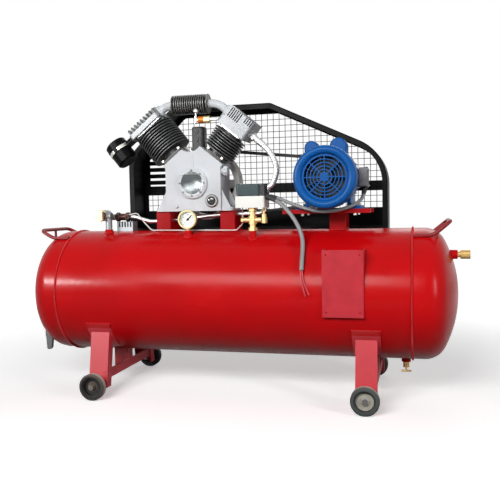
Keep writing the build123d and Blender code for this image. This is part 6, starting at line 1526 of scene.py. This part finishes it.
def circle(centre: Point, radius: float, axis: str, steps: int = 96) -> list[Point]:
    """Give the points of a circle about an axis of the frame, closed on its first point.

    Args:
        centre: Its centre.
        radius: Its radius.
        axis: The axis, "X" or "Z".
        steps: How many sides.

    Returns:
        The points.
    """
    turn = {"X": Matrix.Rotation(math.pi / 2, 3, "Y"), "Z": Matrix.Identity(3)}[axis]
    angles = [math.tau * i / steps for i in range(steps + 1)]
    return [tuple(Vector(centre) + turn @ Vector((radius * math.cos(t), radius * math.sin(t), 0)))
            for t in angles]


@dataclass
class Welds:
    """Rippled weld beads where the receiver's heads, bosses, pedestals and saddles are joined."""

    machine: Machine
    trees: Trees
    tank_z: float = 0.3845
    tank_radius: float = 0.2425
    seams: Flat = (-0.6855, 0.6445)
    seam_bead: float = 0.0036
    foot_bead: float = 0.0028
    ripple: float = 0.0034
    boss_gap: float = 0.001
    edge_steps: int = 12
    bosses: tuple[Point, ...] = (  # X, Y and radius of each
        (-0.1905, -0.097, 0.013), (0.0695, -0.115, 0.013), (-0.5435, -0.050, 0.016))
    pedestals: tuple[tuple[float, float, float, float], ...] = (  # from X, to X, from Y, to Y of each
        (-0.3465, -0.2845, -0.032, 0.078), (-0.0825, -0.0205, -0.032, 0.078),
        (0.3445, 0.4065, -0.046, 0.062))
    saddles: Flat = (LEFT_AXLE_X, RIGHT_AXLE_X)
    saddle_width: float = 0.097
    saddle_top: float = 0.279

    def surface(self, x: float, y: float) -> Point:
        """Give the point of the receiver's upper surface over X and Y."""
        return (x, y, self.tank_z + math.sqrt(self.tank_radius ** 2 - y ** 2))

    def bead(self, name: str, lines: list[list[Point]], radius: float) -> None:
        """Lay ripples along lines.

        Args:
            name: The piece's name.
            lines: The lines.
            radius: The bead's radius.
        """
        shape = bmesh.new()
        long = self.ripple
        lathe(shape, [(0, -long * 0.8), (radius * 0.78, -long * 0.4), (radius, 0),
                      (radius * 0.86, long * 0.35), (0, long * 0.6)], Matrix.Identity(4), sides=10)
        drop = from_bmesh("ripple", shape, WELD)
        self.machine.add(self.trees.along(name, lines, drop, WELD, self.ripple), "red_paint")

    def pedestal(self, x0: float, x1: float, y0: float, y1: float) -> list[list[Point]]:
        """Give the four edges of a pedestal's foot on the receiver.

        Args:
            x0: Its left edge.
            x1: Its right edge.
            y0: Its front edge.
            y1: Its back edge.

        Returns:
            The points of each edge.
        """
        shares = [i / self.edge_steps for i in range(self.edge_steps + 1)]
        edges = ((x0, y0, x1, y0), (x0, y1, x1, y1), (x0, y0, x0, y1), (x1, y0, x1, y1))
        return [[self.surface(ax + (bx - ax) * share, ay + (by - ay) * share) for share in shares]
                for ax, ay, bx, by in edges]

    def build(self) -> None:
        """Lay every bead."""
        for name, x in zip(("left_head_seam", "right_head_seam"), self.seams):
            self.bead(name, [circle((x, 0, self.tank_z), self.tank_radius, "X")], self.seam_bead)
        rings = [[self.surface(px, py) for px, py, _ in circle((x, y, 0), radius + self.boss_gap, "Z", 40)]
                 for x, y, radius in self.bosses]
        self.bead("boss_welds", rings, self.foot_bead)
        edges = [edge for corners in self.pedestals for edge in self.pedestal(*corners)]
        self.bead("pedestal_welds", edges, self.foot_bead)
        half, top = self.saddle_width / 2, self.saddle_top
        reach = math.sqrt(self.tank_radius ** 2 - (top - self.tank_z) ** 2)
        lines = [[(x - half, y, top), (x + half, y, top)] for x in self.saddles for y in (-reach, reach)]
        self.bead("saddle_welds", lines, self.foot_bead)


@dataclass
class Trim:
    """The air filter's band and clip, and the lens of the sight glass."""

    machine: Machine
    filter_place: Point = (-0.155, -0.036, 0.0)
    crank: Point = (CRANK_X, 0.010, CRANK_Z)
    tilt: float = -BANK_LEAN
    band: tuple[Flat, ...] = ((0.0436, 0.2955), (0.0452, 0.2955), (0.0458, 0.2970), (0.0458, 0.3075),
                              (0.0452, 0.3090), (0.0436, 0.3090))
    clip_width: float = 0.0160
    clip_ends: Flat = (0.2945, 0.3100)
    clip_front: float = -0.0484
    clip_depth: float = 0.0060
    lens_at: Point = (-0.1075, -0.0572, 0.739)
    lens_radius: float = 0.0165

    def build(self) -> None:
        """Build each trim piece."""
        leaning = Matrix.Translation(self.crank) @ Matrix.Rotation(math.radians(self.tilt), 4, "Y")
        place = leaning @ Matrix.Translation(self.filter_place)
        self.filter_band(place)
        self.filter_clip(place)
        self.sight_lens()

    def filter_band(self, place: Matrix) -> None:
        """Put the band round the air filter's can, whose axis is the place's local Z."""
        shape = bmesh.new()
        lathe(shape, [*self.band, self.band[0]], place, sides=64)
        self.machine.add(from_bmesh("filter_band", shape, ZINC, smooth=False), "steel")

    def filter_clip(self, place: Matrix) -> None:
        """Put the clip over the front of the band."""
        shape = bmesh.new()
        half, front, (low, high) = self.clip_width / 2, self.clip_front, self.clip_ends
        outline = [(-half, front, low), (half, front, low), (half, front, high), (-half, front, high)]
        way = place.to_3x3() @ Vector((0, self.clip_depth, 0))
        extruded(shape, [tuple(place @ Vector(p)) for p in outline], way)
        self.machine.add(from_bmesh("filter_clip", shape, GLOSS_BLACK, smooth=False), "black_plastic")

    def sight_lens(self) -> None:
        """Put the domed lens in the sight glass."""
        shape = bmesh.new()
        r = self.lens_radius
        dome = [(0, 0), (r, 0), (r * 0.97, 0.0015), (r * 0.8, 0.0032), (r * 0.5, 0.0046), (0, 0.0052)]
        lathe(shape, dome, Matrix.Translation(self.lens_at) @ Facing.FRONT.turn(), sides=48)
        self.machine.add(from_bmesh("sight_lens", shape, LENS_BLACK), "black_plastic")


@dataclass
class PressureGauge:
    """Scale and numbers on the gauge's dial."""

    machine: Machine
    trees: Trees
    sweep: float = 270.0
    tick_count: int = 31
    fine_mark: Flat = (0.00044, 0.0022)
    main_mark: Flat = (0.0008, 0.0042)
    mark_radius: float = 0.0265
    number_radius: float = 0.0185
    number_size: float = 0.0072
    numbers: int = 5
    number_step: int = 4
    ink_depth: float = 0.0001
    ink_gap: float = 0.00015

    def build(self) -> None:
        """Print the scale just in front of the dial plate."""
        low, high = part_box("gauge_dial")
        centre = (low + high) / 2
        face = low.y - self.ink_gap
        place = Matrix.Translation((centre.x, face, centre.z)) @ Facing.FRONT.turn()
        parts = [self.ticks("fine", self.fine_mark, self.tick_count),
                 self.ticks("main", self.main_mark, self.numbers)]
        for index in range(self.numbers):
            turn = math.radians(self.sweep) * (0.5 - index / (self.numbers - 1))
            parts.append(self.number(str(index * self.number_step), turn))
        scale = join("gauge_scale", parts)
        scale.data.transform(place)
        self.machine.add(scale, "needle_black")

    def ticks(self, name: str, size: Flat, count: int) -> bpy.types.Object:
        """Repeat one mark over the whole scale.

        Args:
            name: The object's name.
            size: The mark's width and length.
            count: How many.

        Returns:
            The marks, round the origin in the XY plane.
        """
        shape = bmesh.new()
        half, reach, under = size[0] / 2, size[1] / 2, -self.ink_depth / 2
        outline = [(-half, -reach, under), (half, -reach, under), (half, reach, under), (-half, reach, under)]
        extruded(shape, outline, Vector((0, 0, self.ink_depth)))
        mark = from_bmesh("mark", shape, INK, smooth=False)
        sweep = math.radians(self.sweep)
        return self.trees.round_arc(name, mark, INK, count, self.mark_radius, sweep / 2, -sweep / (count - 1))

    def number(self, words: str, turn: float) -> bpy.types.Object:
        """Make one number of the scale as a mesh.

        Args:
            words: The digits.
            turn: Its angle from straight up, anticlockwise.

        Returns:
            The number, upright, round the origin in the XY plane.
        """
        text = bpy.data.curves.new("number", "FONT")
        text.body = words
        text.size = self.number_size
        text.align_x, text.align_y = "CENTER", "CENTER"
        text.extrude = self.ink_depth / 2
        source = linked("number", text)
        mesh = evaluated_mesh(source)
        bpy.data.objects.remove(source)
        mesh.materials.clear()
        mesh.materials.append(INK.build())
        mesh.transform(Matrix.Translation((-math.sin(turn) * self.number_radius,
                                           math.cos(turn) * self.number_radius, 0)))
        return linked("number", mesh)


# ---------------------------------------------------------------- finishes of the CAD nodes
NODE_FINISHES: dict[str, Finish | ZonedFinish | GlassFinish] = {
    "tank": RED, "leg_frame_left": LEG_FRAME, "leg_frame_right": LEG_FRAME, "tank_handles": HANDLE_RED,
    "tow_lug": DARK_GREY, "starter_plate": PLATE_RED, "outlet_fitting": BRASS, "drain_valve_body": BRASS,
    "drain_handle": BRASS, "wheel_front_left": FRONT_LEFT_WHEEL, "wheel_front_right": FRONT_RIGHT_WHEEL,
    "wheel_rear_left": TYRE_BLACK, "wheel_rear_right": REAR_RIGHT_WHEEL, "wheel_axles": DARK_STEEL,
    "gauge_case": BEZEL, "gauge_dial": DIAL, "gauge_needle": INK, "gauge_lens": GLASS,
    "pressure_manifold": PALE_BRASS, "tank_safety_valve": PALE_BRASS, "switch_base": SWITCH_WHITE,
    "switch_cover": SWITCH_GREY, "switch_glands": BLACK_PLASTIC, "unloader_tube": WHITE_TUBE,
    "check_valve": CHECK_VALVE, "inlet_tee": INLET_TEE, "discharge_pipe": STEEL, "pump_brackets": FRAME_RED,
    "crankcase": SILVER, "crankcase_cover": COVER_DISH, "sight_glass": DARK_STEEL,
    "filler_and_breather": FILLER, "crankshaft": DARK_STEEL, "flywheel": FLYWHEEL_GREY,
    "shaft_bearings": STEEL, "low_pressure_cylinder": DARK_FINS, "low_pressure_head": LOW_HEAD,
    "high_pressure_cylinder": DARK_FINS, "high_pressure_head": HEAD_SILVER, "valve_plates": STEEL,
    "low_pressure_piston": ALUMINIUM, "high_pressure_piston": ALUMINIUM, "intercooler": COOLER_FINS,
    "intercooler_elbows": SILVER, "air_filter": GLOSS_BLACK, "interstage_valve": RELIEF_VALVE,
    "drive_belts": BELT, "motor_frame": BLUE, "motor_fan_cover": BLUE, "motor_rotor": STEEL,
    "motor_fan": BLACK_PLASTIC, "motor_pulley": CAST_GREY, "motor_terminal_box": DARK_GREY,
    "motor_base": FRAME_RED, "bolts": ZINC}

SCREWS = (
    Screws("crankcase_cover_screws", (CRANK_X, -0.064, CRANK_Z), Facing.FRONT, 0.008, count=8, radius=0.0485,
           finish=DARK_STEEL),
    Screws("cowl_screws", (0.3505, -0.1360, 0.811), Facing.FRONT, 0.007),
    Screws("terminal_box_screws_front", (0.4895, -0.076, 0.842), Facing.RIGHT, 0.006),
    Screws("terminal_box_screws_back", (0.4895, -0.024, 0.782), Facing.RIGHT, 0.006),
    Screws("switch_cover_screw_left", (0.024, -0.102, 0.797), Facing.UP, 0.006),
    Screws("switch_cover_screw_right", (0.089, -0.102, 0.797), Facing.UP, 0.006))


# ---------------------------------------------------------------- studio
@dataclass(frozen=True)
class Lamp:
    """One soft rectangular lamp."""

    name: str
    at: Point
    towards: Point
    size: Flat
    watts: float
    sheen_only: bool = False  # shows in gloss alone and adds no diffuse light

    def hang(self) -> None:
        """Hang the lamp and point it."""
        data = bpy.data.lights.new(self.name, "AREA")
        data.shape = "RECTANGLE"
        data.size, data.size_y = self.size
        data.energy = self.watts
        lamp = linked(self.name, data)
        lamp.location = self.at
        lamp.visible_diffuse = not self.sheen_only
        lamp.rotation_mode = "QUATERNION"
        lamp.rotation_quaternion = (Vector(self.towards) - Vector(self.at)).to_track_quat("-Z", "Y")


LAMPS = (
    Lamp("key", (-0.6, -3.4, 2.1), (0.0, 0.0, 0.5), (2.2, 1.0), 118.0),
    Lamp("strip", (-2.7, -2.8, 1.42), (-0.5, 0.0, 0.40), (1.0, 0.18), 150.0, sheen_only=True),
    Lamp("side", (2.7, -1.7, 1.1), (0.3, 0.0, 0.6), (0.25, 1.0), 26.0),
    Lamp("back", (0.4, 3.0, 2.4), (0.0, 0.0, 0.6), (2.5, 1.2), 20.0))


@dataclass
class Studio:
    """Pale floor, white surroundings, soft lamps and the camera."""

    floor_half: float = 12.0
    floor_top: float = -0.0002
    floor_rough: float = 0.9
    floor_pale: float = 0.95  # its colour to the camera
    floor_dark: float = 0.08  # its colour in the light that it throws back
    floor_glow: float = 0.38  # how much it shines of itself near the middle
    glow_from: float = 1.0  # distance at which the rest of the glow starts
    glow_full: float = 3.0
    camera_at: Point = (0.67879, -2.52904, 0.71383)
    yaw: float = 0.2520
    pitch: float = -0.0647
    roll: float = -0.0190
    lens: float = 48.34
    sensor: float = 36.0
    ambient: float = 0.10

    def build(self) -> None:
        """Build the studio."""
        self.floor()
        self.world()
        for lamp in LAMPS:
            lamp.hang()
        self.camera()
        bpy.context.scene.view_settings.view_transform = "Standard"

    def seen(self, book: NodeBook) -> bpy.types.NodeSocket:
        """Add the nodes that are 1 for what the camera sees, also in gloss and through glass."""
        paths = book.add("ShaderNodeLightPath")
        shown = book.math("ADD", paths.outputs["Is Camera Ray"], paths.outputs["Is Glossy Ray"])
        return book.math("ADD", shown, paths.outputs["Is Transmission Ray"], clamp=True)

    def floor(self) -> None:
        """Lay the floor: pale to the eye, and dim in the light that it throws back."""
        material, book, shader = new_material("studio_floor")
        seen = self.seen(book)
        pale, dark = (self.floor_pale,) * 3 + (1.0,), (self.floor_dark,) * 3 + (1.0,)
        away = book.vector_math("LENGTH", object_place(book))
        direct = book.add("ShaderNodeLightPath").outputs["Is Camera Ray"]
        outside = book.spread(away, self.glow_from, self.glow_full)
        glow = book.math("ADD", book.math("MULTIPLY", outside, 1.0 - self.floor_glow),
                         book.math("MULTIPLY", direct, self.floor_glow))
        for socket, value in (("Base Color", book.blend(seen, dark, pale)), ("Emission Color", WHITE),
                              ("Emission Strength", book.math("MULTIPLY", seen, glow)),
                              ("Roughness", self.floor_rough), ("Specular IOR Level", 0.0)):
            book.feed(shader.inputs[socket], value)
        reach, top = self.floor_half, self.floor_top
        corners = [(-reach, -reach, top), (reach, -reach, top), (reach, reach, top), (-reach, reach, top)]
        mesh = bpy.data.meshes.new("floor")
        mesh.from_pydata(corners, [], [(0, 1, 2, 3)])
        mesh.materials.append(material)
        linked("floor", mesh)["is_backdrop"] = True

    def world(self) -> None:
        """Light evenly and low, and show white to the camera and in gloss and glass."""
        world = bpy.data.worlds.new("studio")
        world.use_nodes = True
        bpy.context.scene.world = world
        book = NodeBook(world.node_tree)
        world.node_tree.nodes.clear()
        strength = book.scaled(self.seen(book), 1.0 - self.ambient, self.ambient)
        light = book.add("ShaderNodeBackground", {"Color": WHITE, "Strength": strength})
        book.add("ShaderNodeOutputWorld", {"Surface": light.outputs[0]})

    def camera(self) -> None:
        """Place the camera by its place, yaw, pitch and roll."""
        data = bpy.data.cameras.new("view")
        data.lens, data.sensor_width = self.lens, self.sensor
        camera = linked("view", data)
        bpy.context.scene.camera = camera
        flat = math.cos(self.pitch)
        forward = Vector((-math.sin(self.yaw) * flat, math.cos(self.yaw) * flat, math.sin(self.pitch)))
        level = Vector((math.cos(self.yaw), math.sin(self.yaw), 0.0))
        upright = level.cross(forward)
        right = level * math.cos(self.roll) + upright * math.sin(self.roll)
        above = upright * math.cos(self.roll) - level * math.sin(self.roll)
        turn = Matrix((right, above, -forward)).transposed().to_4x4()
        camera.matrix_world = Matrix.Translation(self.camera_at) @ turn


def main() -> None:
    """Build the machine's dressing in order."""
    logging.basicConfig(level=logging.INFO, format="%(name)s: %(message)s")
    machine = Machine()
    trees = Trees()
    Studio().build()
    Cords(machine).build()
    for node, finish in NODE_FINISHES.items():
        machine.finish_node(node, finish)
    BeltGuard(machine, trees).build()
    BraidedHose(machine, trees).build()
    PressureGauge(machine, trees).build()
    Welds(machine, trees).build()
    Trim(machine).build()
    for screws in SCREWS:
        screws.build(machine, trees)
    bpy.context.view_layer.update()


if __name__ == "__main__":
    main()
